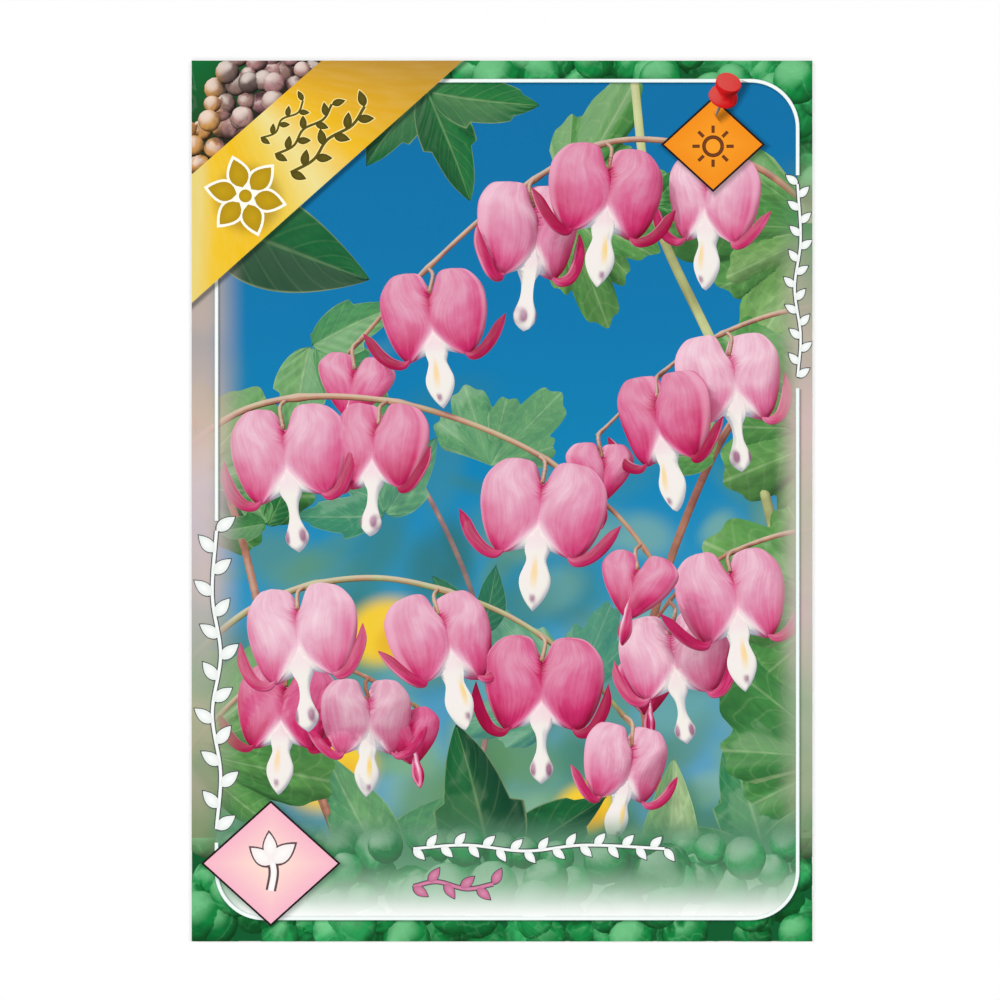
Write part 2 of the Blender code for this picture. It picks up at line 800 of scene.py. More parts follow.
def stem_group() -> NodeTree:
    """Builds the tree that turns a line with radii into a round stem.

    Returns:
        The geometry node group.
    """
    takes = {"Line": SocketKind.GEOMETRY, "Sides": SocketKind.COUNT, "Finish": SocketKind.MATERIAL}
    tree = GroupTree("round_stem", takes, {"Stem": SocketKind.GEOMETRY})
    share = tree.add("GeometryNodeSplineParameter").outputs["Factor"]
    ring = {"Resolution": tree.start["Sides"], "Radius": 1.0}
    inputs = {
        "Curve": tree.marked(tree.start["Line"], "along", share),
        "Profile Curve": tree.add("GeometryNodeCurvePrimitiveCircle", ring),
        "Scale": tree.add("GeometryNodeInputRadius"),
        "Fill Caps": True,
    }
    return tree.coated(tree.add("GeometryNodeCurveToMesh", inputs))


def hanging_group() -> NodeTree:
    """Builds the tree that hangs one of several shapes on each point.

    Returns:
        The geometry node group.
    """
    takes = {
        "Places": SocketKind.GEOMETRY,
        "Shapes": SocketKind.COLLECTION,
        "Finish": SocketKind.MATERIAL,
    }
    tree = GroupTree("hung_shapes", takes, {"Shapes": SocketKind.GEOMETRY})
    points = tree.add("GeometryNodeMeshToPoints", {"Mesh": tree.start["Places"]})
    marks = (("kind", "INT"), ("turn", "FLOAT_VECTOR"), ("size", "FLOAT"))
    return tree.coated(tree.copies(points, *(tree.stored(name, kind) for name, kind in marks)))


def pile_group() -> NodeTree:
    """Builds the tree that piles turned copies of some shapes over an area.

    Returns:
        The geometry node group.
    """
    takes = {
        "Area": SocketKind.GEOMETRY,
        "Shapes": SocketKind.COLLECTION,
        "Spacing": SocketKind.NUMBER,
        "Smallest": SocketKind.NUMBER,
        "Largest": SocketKind.NUMBER,
        "Seed": SocketKind.COUNT,
        "Finish": SocketKind.MATERIAL,
    }
    tree = GroupTree("bulb_pile", takes, {"Pile": SocketKind.GEOMETRY})
    area, _, spacing, smallest, largest, seed, _, _ = tree.start
    spread = {"Mesh": area, "Distance Min": spacing, "Density Max": 4.0, "Seed": seed}
    places = tree.add("GeometryNodeDistributePointsOnFaces", spread, distribute_method="POISSON")
    marked = tree.marked(places, "own", tree.drawn("FLOAT", 0.0, 1.0, 7))
    angles = tree.drawn("FLOAT_VECTOR", (-0.9, -0.9, -3.1), (0.9, 0.9, 3.1), seed)
    size = tree.drawn("FLOAT", smallest, largest, seed)
    piled = tree.copies(marked, tree.drawn("INT", 0, 2, 3), angles, size)
    lift = tree.add("ShaderNodeCombineXYZ", {"Z": tree.drawn("FLOAT", -1.0, 1.2, 11)})
    return tree.coated(tree.add("GeometryNodeTranslateInstances", {"Instances": piled, "Translation": lift}))


def vine_group() -> NodeTree:
    """Builds the tree that sets leaves along a line, on alternate sides.

    Returns:
        The geometry node group.
    """
    takes = {
        "Line": SocketKind.GEOMETRY,
        "Leaf": SocketKind.OBJECT,
        "Spacing": SocketKind.NUMBER,
        "Size": SocketKind.NUMBER,
        "Angle": SocketKind.NUMBER,
        "Finish": SocketKind.MATERIAL,
    }
    tree = GroupTree("vine_leaves", takes, {"Leaves": SocketKind.GEOMETRY})
    line, leaf, spacing, size, angle, _, _ = tree.start
    tangent = {"Vector": tree.add("GeometryNodeInputTangent")}
    way = tree.add("FunctionNodeAlignRotationToVector", tangent, axis="Y", pivot_axis="Z")
    side = tree.sum("MODULO", tree.add("GeometryNodeInputIndex").outputs[0], 2.0)
    swing = tree.sum("MULTIPLY", tree.sum("MULTIPLY_ADD", side, 2.0, -1.0), angle)
    turn = {"Rotation": way, "Rotate By": tree.turned(tree.add("ShaderNodeCombineXYZ", {"Z": swing}))}
    inputs = {
        "Points": tree.add("GeometryNodeResampleCurve", {"Curve": line, "Length": spacing}, mode="LENGTH"),
        "Instance": tree.add("GeometryNodeObjectInfo", {"Object": leaf}).outputs["Geometry"],
        "Rotation": tree.add("FunctionNodeRotateRotation", turn, rotation_space="LOCAL"),
        "Scale": size,
    }
    return tree.coated(tree.add("GeometryNodeInstanceOnPoints", inputs))


# Finishes


class PrintEffects:
    """Shader node groups that several printed finishes share."""

    def __init__(self) -> None:
        """Builds the groups once."""
        self.film = self._film()
        self.light = self._light()
        self.streaks = self._streaks()
        self.wash = self._wash()

    @staticmethod
    def _film() -> NodeTree:
        """Gloss film: a faint orange peel and small changes in its shine.

        Returns:
            The shader node group.
        """
        gives = {"Roughness": SocketKind.NUMBER, "Height": SocketKind.NUMBER}
        tree = GroupTree("gloss_film", {"Shine": SocketKind.NUMBER}, gives)
        rough = tree.sum("MULTIPLY_ADD", tree.noise(60.0, 3.0), 0.10, tree.start["Shine"])
        return tree.ended(rough, tree.noise(900.0, 2.0))

    @staticmethod
    def _light() -> NodeTree:
        """The picture's own light: shade in the low tones, a bright veil in the high ones.

        Returns:
            The shader node group.
        """
        takes = {
            "Colour": SocketKind.COLOUR,
            "Shade": SocketKind.COLOUR,
            "Glow": SocketKind.COLOUR,
            "Lustre": SocketKind.NUMBER,
        }
        tree = GroupTree("picture_light", takes, {"Colour": SocketKind.COLOUR})
        colour, shade, glow, lustre, _ = tree.start
        tone = tree.mark("tone")
        dimmed = tree.mix(tree.rise(tone, 0.02, 0.62), shade, (1.0, 1.0, 1.0))
        shaded = tree.mix(1.0, colour, dimmed, "MULTIPLY")
        return tree.ended(tree.mix(tree.sum("MULTIPLY", tree.rise(tone, 0.60, 1.0), lustre), shaded, glow))

    @staticmethod
    def _streaks() -> NodeTree:
        """Fine lines that run along a petal, blade or stem.

        Returns:
            The shader node group.
        """
        takes = {"Count": SocketKind.NUMBER, "Length": SocketKind.NUMBER}
        tree = GroupTree("fine_streaks", takes, {"Streaks": SocketKind.NUMBER})
        across = tree.sum("MULTIPLY", tree.mark("across"), tree.start["Count"])
        along = tree.sum("MULTIPLY", tree.mark("along"), tree.start["Length"])
        number = tree.sum("MULTIPLY", tree.mark("blush"), 40.0)
        place = tree.add("ShaderNodeCombineXYZ", {0: across, 1: along, 2: number})
        return tree.ended(tree.rise(tree.noise(1.0, 4.0, place), 0.30, 0.70))

    @staticmethod
    def _wash() -> NodeTree:
        """The pale wash that the print lays over the picture towards the card's long sides.

        Returns:
            The shader node group.
        """
        tree = GroupTree("side_wash", {"Colour": SocketKind.COLOUR}, {"Colour": SocketKind.COLOUR})
        x, y = tree.axis(0), tree.axis(1)
        left = tree.rise(x, -43.0 * MM, -50.5 * MM, 0.94)
        right = tree.rise(x, 45.5 * MM, 51.2 * MM, 0.94)
        right = tree.sum("MULTIPLY", right, tree.rise(y, 60.0 * MM, 46.0 * MM))
        height = tree.add("ShaderNodeMapRange", {"Value": y, "From Min": -60.0 * MM, "From Max": 48.0 * MM})
        left_ink = tree.ramp(
            height,
            [
                (0.02, ink(20, 116, 58)),
                (0.05, ink(50, 124, 72)),
                (0.10, ink(120, 142, 110)),
                (0.25, ink(146, 164, 136)),
                (0.42, ink(190, 180, 178)),
                (0.57, ink(196, 188, 204)),
                (0.68, ink(206, 182, 168)),
                (0.80, ink(176, 166, 162)),
                (1.0, ink(150, 152, 138)),
            ],
        )
        right_ink = tree.ramp(
            height,
            [
                (0.02, ink(20, 116, 58)),
                (0.05, ink(50, 130, 76)),
                (0.10, ink(122, 154, 116)),
                (0.25, ink(148, 170, 140)),
                (0.37, ink(194, 180, 178)),
                (0.55, ink(194, 186, 170)),
                (0.68, ink(212, 184, 184)),
                (1.0, ink(84, 140, 92)),
            ],
        )
        cloud = tree.rise(tree.noise(48.0, 3.0), 0.42, 0.62, 0.24)
        washed = tree.mix(left, tree.start["Colour"], tree.mix(cloud, left_ink, ink(240, 200, 176)))
        return tree.ended(tree.mix(right, washed, tree.mix(cloud, right_ink, ink(226, 200, 186))))


@dataclass(frozen=True)
class PrintFinish:
    """A printed surface under gloss film.

    The subclasses say how the ink's colour comes about.
    """

    name: str
    shine: float = 0.30

    def colour(self, tree: Tree, effects: PrintEffects) -> Socket:
        """Builds the ink's colour."""
        raise NotImplementedError

    def opacity(self, tree: Tree) -> Socket | None:
        """Builds the ink's opacity, where it is thin."""
        return None

    def material(self, effects: PrintEffects) -> Material:
        """Makes the material.

        Args:
            effects: the groups that the finishes share.

        Returns:
            The material.
        """
        material = bpy.data.materials.new(self.name)
        material.use_nodes = True
        tree = Tree(material.node_tree)
        film = tree.add("ShaderNodeGroup", {"Shine": self.shine}, node_tree=effects.film)
        peel = {"Height": film.outputs["Height"], "Strength": 0.06, "Distance": 0.02 * MM}
        values = {
            "Base Color": self.colour(tree, effects),
            "Roughness": film.outputs["Roughness"],
            "Normal": tree.add("ShaderNodeBump", peel),
            "Alpha": self.opacity(tree),
            "Specular IOR Level": 0.12,
            "Coat Weight": 0.10,
            "Coat Roughness": 0.07,
        }
        for name, value in values.items():
            if value is not None:
                tree.fill(material.node_tree.nodes["Principled BSDF"].inputs[name], value)
        return material


@dataclass(frozen=True)
class PetalInk(PrintFinish):
    """Petals from white through pink to magenta, with fine long veins."""

    shade: Colour = (0.34, 0.05, 0.16)
    white_shade: Colour = (0.35, 0.36, 0.50)

    def colour(self, tree: Tree, effects: PrintEffects) -> Socket:
        """Builds the petals' colour.

        Args:
            tree: the material's tree.
            effects: the groups that the finishes share.

        Returns:
            The colour.
        """
        tint = tree.mark("tint")
        drift = tree.sway(tree.mark("blush"), 0.34, tint)
        drift = tree.sway(tree.use(effects.streaks, {"Count": 15.0, "Length": 2.6}), 0.07, drift)
        drift = tree.sway(tree.use(effects.streaks, {"Count": 2.2, "Length": 4.5}), 0.13, drift)
        # White tissue keeps its white, so the veins only show where there is some pink.
        weight = tree.rise(tint, 0.02, 0.30)
        level = tree.add("ShaderNodeMix", {0: weight, 2: tint, 3: drift}, data_type="FLOAT").outputs[0]
        base = tree.ramp(
            level,
            [
                (0.0, ink(240, 240, 230)),
                (0.18, ink(238, 196, 210)),
                (0.38, ink(222, 146, 176)),
                (0.56, ink(214, 100, 144)),
                (0.78, ink(200, 44, 104)),
                (1.0, ink(166, 10, 68)),
            ],
        )
        # Painted rim light: the pink pales in a thin band along the petals' edges.
        edge = tree.rise(tree.sum("ABSOLUTE", tree.mark("across")), 0.90, 0.995, 0.45)
        base = tree.mix(tree.sum("MULTIPLY", edge, weight), base, ink(244, 190, 212))
        accent = tree.mark("accent")
        base = tree.mix(tree.rise(accent, 0.05, 0.9, 0.9), base, ink(246, 206, 92))
        base = tree.mix(tree.rise(accent, -0.05, -0.8, 0.85), base, ink(140, 62, 112))
        light = {
            "Colour": base,
            "Shade": tree.mix(weight, self.white_shade, self.shade),
            "Glow": ink(250, 232, 240),
            "Lustre": tree.sum("MULTIPLY_ADD", level, -0.30, 0.36),
        }
        return tree.use(effects.wash, {"Colour": tree.use(effects.light, light)})


@dataclass(frozen=True)
class LeafInk(PrintFinish):
    """Leaf green from blue-green to yellow-green, with paler veins."""

    side_veins: float = 7.0
    vein_slant: float = -1.9

    def colour(self, tree: Tree, effects: PrintEffects) -> Socket:
        """Builds the leaves' colour.

        Args:
            tree: the material's tree.
            effects: the groups that the finishes share.

        Returns:
            The colour.
        """
        tint = tree.mark("tint")
        base = tree.ramp(
            tint,
            [
                (0.0, ink(10, 66, 42)),
                (0.25, ink(36, 108, 56)),
                (0.5, ink(76, 146, 72)),
                (0.75, ink(124, 174, 96)),
                (1.0, ink(190, 206, 156)),
            ],
        )
        # One half of the blade is fresher than the other.
        base = tree.mix(tree.rise(tree.mark("across"), 0.25, -0.25, 0.42), base, ink(34, 132, 66))
        across = tree.sum("ABSOLUTE", tree.mark("across"))
        along = tree.sum("MULTIPLY", tree.mark("along"), self.side_veins)
        slant = tree.sum("FRACT", tree.sum("MULTIPLY_ADD", across, self.vein_slant, along))
        side = tree.rise(tree.sum("ABSOLUTE", tree.sum("SUBTRACT", slant, 0.5)), 0.12, 0.0, 0.20)
        vein = tree.sum("MAXIMUM", side, tree.rise(across, 0.07, 0.01, 0.55))
        vein = tree.sum("MULTIPLY", vein, tree.sum("MULTIPLY_ADD", tint, 0.8, 0.32))
        base = tree.mix(vein, base, ink(176, 204, 146))
        base = tree.mix(tree.rise(across, 0.94, 1.0, 0.35), base, ink(204, 220, 164))
        streaks = tree.use(effects.streaks, {"Count": 5.0, "Length": 9.0})
        base = tree.mix(tree.sum("MULTIPLY", streaks, 0.28), base, ink(14, 66, 44))
        light = {
            "Colour": base,
            "Shade": (0.16, 0.24, 0.22),
            "Glow": ink(206, 232, 190),
            "Lustre": tree.sum("MULTIPLY_ADD", tint, 0.3, 0.06),
        }
        hazed = tree.mix(tree.mark("haze"), tree.use(effects.light, light), HAZE_BLUE)
        return tree.use(effects.wash, {"Colour": hazed})


@dataclass(frozen=True)
class StemInk(PrintFinish):
    """Stems from reddish brown to yellow-green."""

    def colour(self, tree: Tree, effects: PrintEffects) -> Socket:
        """Builds the stems' colour.

        Args:
            tree: the material's tree.
            effects: the groups that the finishes share.

        Returns:
            The colour.
        """
        drift = tree.sway(tree.use(effects.streaks, {"Count": 3.0, "Length": 26.0}), 0.3, tree.mark("tint"))
        base = tree.ramp(
            drift,
            [
                (0.0, ink(150, 92, 84)),
                (0.3, ink(184, 130, 104)),
                (0.6, ink(160, 160, 104)),
                (1.0, ink(196, 204, 140)),
            ],
        )
        light = {"Colour": base, "Shade": (0.22, 0.18, 0.16), "Glow": ink(244, 236, 214), "Lustre": 0.45}
        hazed = tree.mix(tree.mark("haze"), tree.use(effects.light, light), HAZE_BLUE)
        return tree.use(effects.wash, {"Colour": hazed})


class BulbPlace(Enum):
    """Where on the card bulbs are printed, which sets their inks."""

    BORDER = 1
    PANEL = 2
    CORNER = 3


def panel_ramp(tree: Tree) -> Socket:
    """Gives the pale green ink that turns white towards the foot of the panel.

    Args:
        tree: the material's tree.

    Returns:
        The colour.
    """
    span = {"Value": tree.axis(1), "From Min": -55.0 * MM, "From Max": -70.0 * MM}
    return tree.ramp(
        tree.add("ShaderNodeMapRange", span),
        [
            (0.0, ink(86, 138, 108)),
            (0.32, ink(90, 142, 108)),
            (0.45, ink(100, 150, 116)),
            (0.67, ink(160, 194, 167)),
            (0.84, ink(206, 222, 209)),
            (1.0, ink(253, 254, 252)),
        ],
    )


@dataclass(frozen=True)
class BulbInk(PrintFinish):
    """Bulbs and tubers, in their own browns or printed all in green."""

    place: BulbPlace = BulbPlace.BORDER

    def skin(self, tree: Tree) -> tuple[Socket, Colour, Colour, Colour]:
        """Chooses the inks of the place.

        Args:
            tree: the material's tree.

        Returns:
            The skin's colour, its shade, its worn patches and its glow.
        """
        blush = tree.mark("blush")
        if self.place is BulbPlace.CORNER:
            base = tree.ramp(
                blush,
                [
                    (0.0, ink(112, 76, 76)),
                    (0.25, ink(168, 120, 124)),
                    (0.5, ink(190, 146, 138)),
                    (0.75, ink(158, 126, 116)),
                    (1.0, ink(88, 80, 76)),
                ],
            )
            base = tree.mix(tree.rise(tree.axis(0), -46.5 * MM, -49.5 * MM, 0.9), base, ink(220, 160, 78))
            return base, (0.03, 0.02, 0.02), ink(86, 58, 58), ink(250, 236, 226)
        base = tree.ramp(blush, [(0.0, ink(4, 114, 52)), (0.5, ink(18, 146, 70)), (1.0, ink(58, 176, 102))])
        ridge = tree.sum("ABSOLUTE", tree.sum("SUBTRACT", tree.noise(190.0, 3.0), 0.5))
        base = tree.mix(tree.rise(ridge, 0.036, 0.0, 0.20), base, ink(132, 214, 152))
        glow = ink(204, 232, 208) if self.place is BulbPlace.PANEL else ink(132, 214, 152)
        return base, (0.03, 0.20, 0.12), ink(0, 84, 38), glow

    def colour(self, tree: Tree, effects: PrintEffects) -> Socket:
        """Builds the bulbs' colour.

        Args:
            tree: the material's tree.
            effects: the groups that the finishes share.

        Returns:
            The colour.
        """
        base, dark, patch, glow = self.skin(tree)
        streaks = tree.use(effects.streaks, {"Count": 4.0, "Length": 1.5})
        worn = tree.sum("ADD", tree.rise(tree.noise(420.0, 5.0), 0.45, 0.75), streaks)
        base = tree.mix(tree.sum("MULTIPLY", worn, 0.38), base, patch)
        lit = tree.use(effects.light, {"Colour": base, "Shade": dark, "Glow": glow, "Lustre": 0.66})
        if self.place is BulbPlace.CORNER:
            return lit
        pale = panel_ramp(tree) if self.place is BulbPlace.PANEL else ink(178, 176, 150)
        return tree.mix(tree.mark("haze"), lit, pale)

    def opacity(self, tree: Tree) -> Socket | None:
        """The panel's bulbs fade out upwards, over the picture.

        Args:
            tree: the material's tree.

        Returns:
            The opacity, or None where the ink is full.
        """
        if self.place is BulbPlace.PANEL:
            return tree.rise(tree.axis(1), -54.0 * MM, -60.5 * MM)
        return None


@dataclass(frozen=True)
class PanelInk(PrintFinish):
    """The pale panel at the picture's foot, thin at its top."""

    def colour(self, tree: Tree, effects: PrintEffects) -> Socket:
        """Builds the panel's colour."""
        return panel_ramp(tree)

    def opacity(self, tree: Tree) -> Socket | None:
        """The panel's ink thins out upwards."""
        return tree.rise(tree.axis(1), -52.0 * MM, -59.0 * MM)


@dataclass(frozen=True)
class SkyInk(PrintFinish):
    """The blue ground of the picture, with soft greenery out of focus."""

    def colour(self, tree: Tree, effects: PrintEffects) -> Socket:
        """Builds the ground's colour from its paint and a fine grain.

        Args:
            tree: the material's tree.
            effects: the groups that the finishes share.

        Returns:
            The colour.
        """
        paint = tree.add("ShaderNodeAttribute", attribute_name="paint").outputs["Color"]
        speck = tree.sum("MULTIPLY", tree.noise(2600.0, 1.0), 0.016)
        return tree.use(effects.wash, {"Colour": tree.mix(speck, paint, ink(150, 200, 220))})


@dataclass(frozen=True)
class BandInk(PrintFinish):
    """Brushed gold of the corner band."""

    def colour(self, tree: Tree, effects: PrintEffects) -> Socket:
        """Builds the band's colour.

        Args:
            tree: the material's tree.
            effects: the groups that the finishes share.

        Returns:
            The colour.
        """
        base = tree.ramp(
            tree.sum("MULTIPLY_ADD", tree.mark("across"), -0.07, tree.mark("along")),
            [
                (0.0, ink(232, 210, 122)),
                (0.08, ink(240, 196, 40)),
                (0.24, ink(240, 190, 10)),
                (0.36, ink(238, 204, 72)),
                (0.47, ink(238, 222, 146)),
                (0.60, ink(240, 188, 20)),
                (0.76, ink(222, 168, 32)),
                (1.0, ink(178, 134, 52)),
            ],
        )
        streaks = tree.use(effects.streaks, {"Count": 3.0, "Length": 30.0})
        return tree.mix(tree.sum("MULTIPLY", streaks, 0.06), base, ink(255, 244, 190))


@dataclass(frozen=True)
class PlainInk(PrintFinish):
    """One ink with a slow change from its heart to its edge. A shadow's ink is also thin."""

    heart: Colour = (0.0, 0.0, 0.0)
    edge: Colour | None = None
    thin: float = 0.0

    def colour(self, tree: Tree, effects: PrintEffects) -> Socket:
        """Builds the ink's colour."""
        drift = tree.sway(tree.noise(1400.0, 2.0), 0.12, tree.mark("across"))
        return tree.ramp(drift, [(0.0, self.heart), (1.0, self.edge or self.heart)])

    def opacity(self, tree: Tree) -> Socket | None:
        """A shadow's ink thins out towards its edge."""
        return tree.rise(tree.mark("across"), 1.0, 0.0, self.thin) if self.thin else None


@dataclass(frozen=True)
class PinInk(PrintFinish):
    """The red push pin and its steel needle."""

    def colour(self, tree: Tree, effects: PrintEffects) -> Socket:
        """Builds the pin's colour.

        Args:
            tree: the material's tree.
            effects: the groups that the finishes share.

        Returns:
            The colour.
        """
        red = ink(206, 18, 22)
        base = tree.ramp(tree.mark("tint"), [(0.0, red), (0.5, red), (1.0, ink(150, 140, 130))])
        light = {"Colour": base, "Shade": (0.16, 0.04, 0.05), "Glow": ink(255, 164, 150), "Lustre": 0.20}
        return tree.use(effects.light, light)


@dataclass(frozen=True)
class BoardPaper:
    """White fibre of the board, at its cut edges and back."""

    name: str = "white_paperboard"
    tone: Colour = (0.78, 0.77, 0.74)
    aged: Colour = (0.62, 0.60, 0.55)
    rough: float = 0.78

    def material(self) -> Material:
        """Makes the material.

        Returns:
            The material.
        """
        material = bpy.data.materials.new(self.name)
        material.use_nodes = True
        tree = Tree(material.node_tree)
        stretch = tree.add("ShaderNodeMapping", {"Vector": tree.place(), "Scale": (1.0, 0.35, 3.0)})
        inputs = {"Vector": stretch, "Scale": 2400.0, "Detail": 6.0, "Roughness": 0.65}
        fibre = tree.add("ShaderNodeTexNoise", inputs).outputs[0]
        darker = tuple(0.86 * part for part in self.tone)
        colour = tree.mix(tree.rise(fibre, 0.35, 0.75, 0.6), self.tone, darker)
        values = {
            "Base Color": tree.mix(tree.rise(tree.noise(45.0, 4.0), 0.3, 0.8, 0.15), colour, self.aged),
            "Roughness": tree.sum("MULTIPLY_ADD", fibre, 0.12, self.rough),
            "Normal": tree.add("ShaderNodeBump", {"Height": fibre, "Strength": 0.5, "Distance": 0.03 * MM}),
        }
        for name, value in values.items():
            tree.fill(material.node_tree.nodes["Principled BSDF"].inputs[name], value)
        return material


# Flowers


class FlowerKind(Enum):
    """How far a heart flower has opened."""

    OPEN = 0
    HUGGED = 1
    BUD = 2


@dataclass
class HeartFlower:
    """One heart flower, a unit high without its drop, with the notch at the top.

    The two outer petals are pouches whose tips turn out as hooks. The inner petals are white,
    narrow at the neck and end in a drop.
    """

    kind: FlowerKind
    seed: int
    rows: int = 30
    columns: int = 44

    def pouch(self, draw: np.random.Generator) -> Relief:
        """Builds the right outer petal as a full pouch, down to the corner where its hook starts.

        Args:
            draw: what the petal's own shape is drawn from.

        Returns:
            The pouch, cut off a little past the flower's middle.
        """
        full = draw.uniform(0.95, 1.04)
        rise = draw.uniform(-0.03, 0.03)
        outer = [(0.25, 0.50), (0.44, 0.465), (0.59, 0.30), (0.625, 0.08)]
        outer += [(0.585, -0.15), (0.50, -0.35), (0.385, -0.49)]
        inner = [(0.25, 0.50), (0.11, 0.460), (-0.01, 0.25), (-0.24, 0.08)]
        inner += [(-0.28, -0.12), (-0.06, -0.335), (0.33, -0.478)]
        if self.kind is FlowerKind.BUD:
            outer[3:] = [(0.565, 0.10), (0.44, -0.12), (0.25, -0.33), (0.07, -0.49)]
            inner[3:] = [(-0.20, 0.08), (-0.22, -0.12), (-0.12, -0.33), (0.04, -0.49)]
        rails = []
        for rail in (outer, inner):
            knots = [
                (x * (full if x > 0.3 else 1.0), y + rise * (y > 0.2), 0.02 * (y < -0.2))
                for x, y in rail
            ]
            rails.append(bend_through(knots, self.rows))
        share = np.linspace(0, 1, self.rows)
        depth = 0.25 * np.sin(math.pi * share**0.74) ** 0.62
        skin = loft((rails[0], rails[1]), depth, self.columns, 0.95)
        along, across = skin.marks["along"], skin.marks["across"]
        _, direction = skin.normals()
        wave = draw.uniform(0, 6)
        ripple = 0.006 * np.sin(6.0 * across + 4.0 * along + wave) * np.sin(math.pi * along)
        fold = 0.014 * bump(across + 0.55 * along, 0.30, 0.14) * ease(0.25, 0.6, along)
        skin.points = skin.points + direction * (ripple + fold)[:, None]
        skin = skin.cut((-1, 0, 0.006))
        x, y = skin.points[:, 0], skin.points[:, 1]
        # The two pouches dip to the seam between them.
        seam = 0.035 * bump(x, 0.0, 0.045) * (1 - 0.6 * ease(0.05, -0.2, y))
        skin.points[:, 2] -= np.where(skin.points[:, 2] > 0, seam, 0.0)
        pink = 0.46 + 0.20 * ease(0.32, 0.62, x) * ease(0.30, -0.10, y) + 0.30 * ease(-0.02, -0.46, y)
        pink -= 0.10 * bump(x, 0.30, 0.22) * bump(y, 0.20, 0.24)
        # Painted shade: the pink deepens in the notch and in a thin line down the crease between the pouches.
        pink += 0.16 * bump(x, 0.0, 0.05) * ease(0.0, 0.25, y)
        pink += 0.40 * bump(x, 0.0, 0.026) * ease(-0.10, 0.22, y)
        white = ease(0.0, 0.19, -y - 0.04 - 1.15 * np.abs(x))
        if self.kind is FlowerKind.BUD:
            white *= 0.15
            pink += 0.14 + 0.14 * ease(0.1, -0.4, y)
        skin.marks["tint"] = np.clip(pink * (1 - white), 0, 1)
        return skin

    def hook(self) -> Relief:
        """Builds the right petal's tip, which turns out and up from the pouch's corner.

        Returns:
            The tip.
        """
        out = 1.0 if self.kind is FlowerKind.OPEN else 0.0
        knots = [
            (0.31, -0.445, 0.06),
            (0.40, -0.500, 0.10),
            (0.52 + 0.01 * out, -0.455, 0.12),
            (0.61 + 0.04 * out, -0.32 - 0.02 * out, 0.11),
            (0.67 + 0.07 * out, -0.15 - 0.05 * out, 0.07),
            (0.68 + 0.14 * out, 0.02 - 0.10 * out, 0.03),
        ]
        skin = blade(knots, [0.0, 0.045, 0.060, 0.064, 0.052, 0.0], 0.055, 24, 18)
        along, across = skin.marks["along"], skin.marks["across"]
        tint = 0.76 + 0.18 * ease(0.05, 0.40, along) - 0.16 * ease(0.4, 1.0, across)
        skin.marks["tint"] = np.clip(tint, 0, 1)
        return skin

    def drop(self) -> Relief:
        """Builds the white inner petals: a collar between the pouches, a neck and a drop.

        Returns:
            The inner petals, whose accent is yolk above 0 and a purple stain below it.
        """
        collar = [0, 0.03, 0.055, 0.09, 0.125]
        halves = {
            FlowerKind.OPEN: collar + [0.125, 0.10, 0.125, 0.155, 0.155, 0.125, 0.075, 0],
            FlowerKind.HUGGED: collar + [0.105, 0.062, 0.048, 0.055, 0.085, 0.120, 0.095, 0],
            FlowerKind.BUD: [0, 0.02, 0.03, 0.05, 0.06, 0.07, 0.062, 0.075, 0.095, 0.10, 0.085, 0.05, 0],
        }[self.kind]
        length = 0.92 if self.kind is FlowerKind.BUD else 1.03
        skin = blade([(0, 0, 0.08), (0, -length / 2, 0.075), (0, -length, 0.05)], halves, 0.12, 36, 26)
        x, y = skin.points[:, 0], skin.points[:, 1]
        front = skin.points[:, 2] > 0.07
        keel = 0.022 * bump(x, 0.0, 0.020) * ease(-0.3, -0.6, y)
        pleat = 0.008 * np.cos(x / 0.014) * ease(-0.60, -0.44, y)
        skin.points[:, 2] += np.where(front, keel + pleat, 0.0)
        skin.marks["tint"] = 0.02 + 0.07 * ease(-0.46, -0.30, y)
        if self.kind is FlowerKind.OPEN:
            yolk = bump(x, 0.0, 0.024) * bump(y, -0.66, 0.15)
            skin.marks["accent"] = 1.4 * yolk - 0.9 * bump(x, 0.0, 0.032) * bump(y, -0.90, 0.055)
        elif self.kind is FlowerKind.HUGGED:
            skin.marks["accent"] = -1.15 * bump(np.abs(x), 0.082, 0.030) * bump(y, -0.87, 0.075)
        else:
            skin.marks["tint"] = 0.70 + 0.2 * ease(-0.5, -0.8, y) - 0.62 * bump(x, -0.03, 0.02)
        return skin

    def build(self) -> Relief:
        """Builds the whole flower, its two sides a little unlike.

        Returns:
            The flower.
        """
        draw = np.random.default_rng(self.seed)
        parts = [self.drop()]
        for side in (1, -1):
            half = [self.pouch(draw)]
            if self.kind is not FlowerKind.BUD:
                half.append(self.hook())
            lean = Matrix.Rotation(math.radians(draw.uniform(-2.5, 2.5)), 4, "Z")
            relief = Relief.joined(half).moved(lean)
            parts.append(relief if side > 0 else relief.mirrored())
        return Relief.joined(parts)


@dataclass
class Stem:
    """A round stem along a line: its points, its radii, its tint and its haze."""

    line: np.ndarray
    radii: np.ndarray
    tint: float
    haze: float = 0.0

    def build(self, tree: NodeTree, sides: int, number: int) -> Relief:
        """Grows the stem with geometry nodes.

        Args:
            tree: the stem tree.
            sides: points round the stem.
            number: its number, which changes its streaks.

        Returns:
            The stem.
        """
        curve = poly_curve(self.line, self.radii)
        relief = grown(curve, tree, {"Sides": sides}, "stem")
        bpy.data.curves.remove(curve)
        relief.marks["tint"][:] = self.tint
        relief.marks["haze"][:] = self.haze
        relief.marks["blush"][:] = (number * 0.37) % 1.0
        return relief


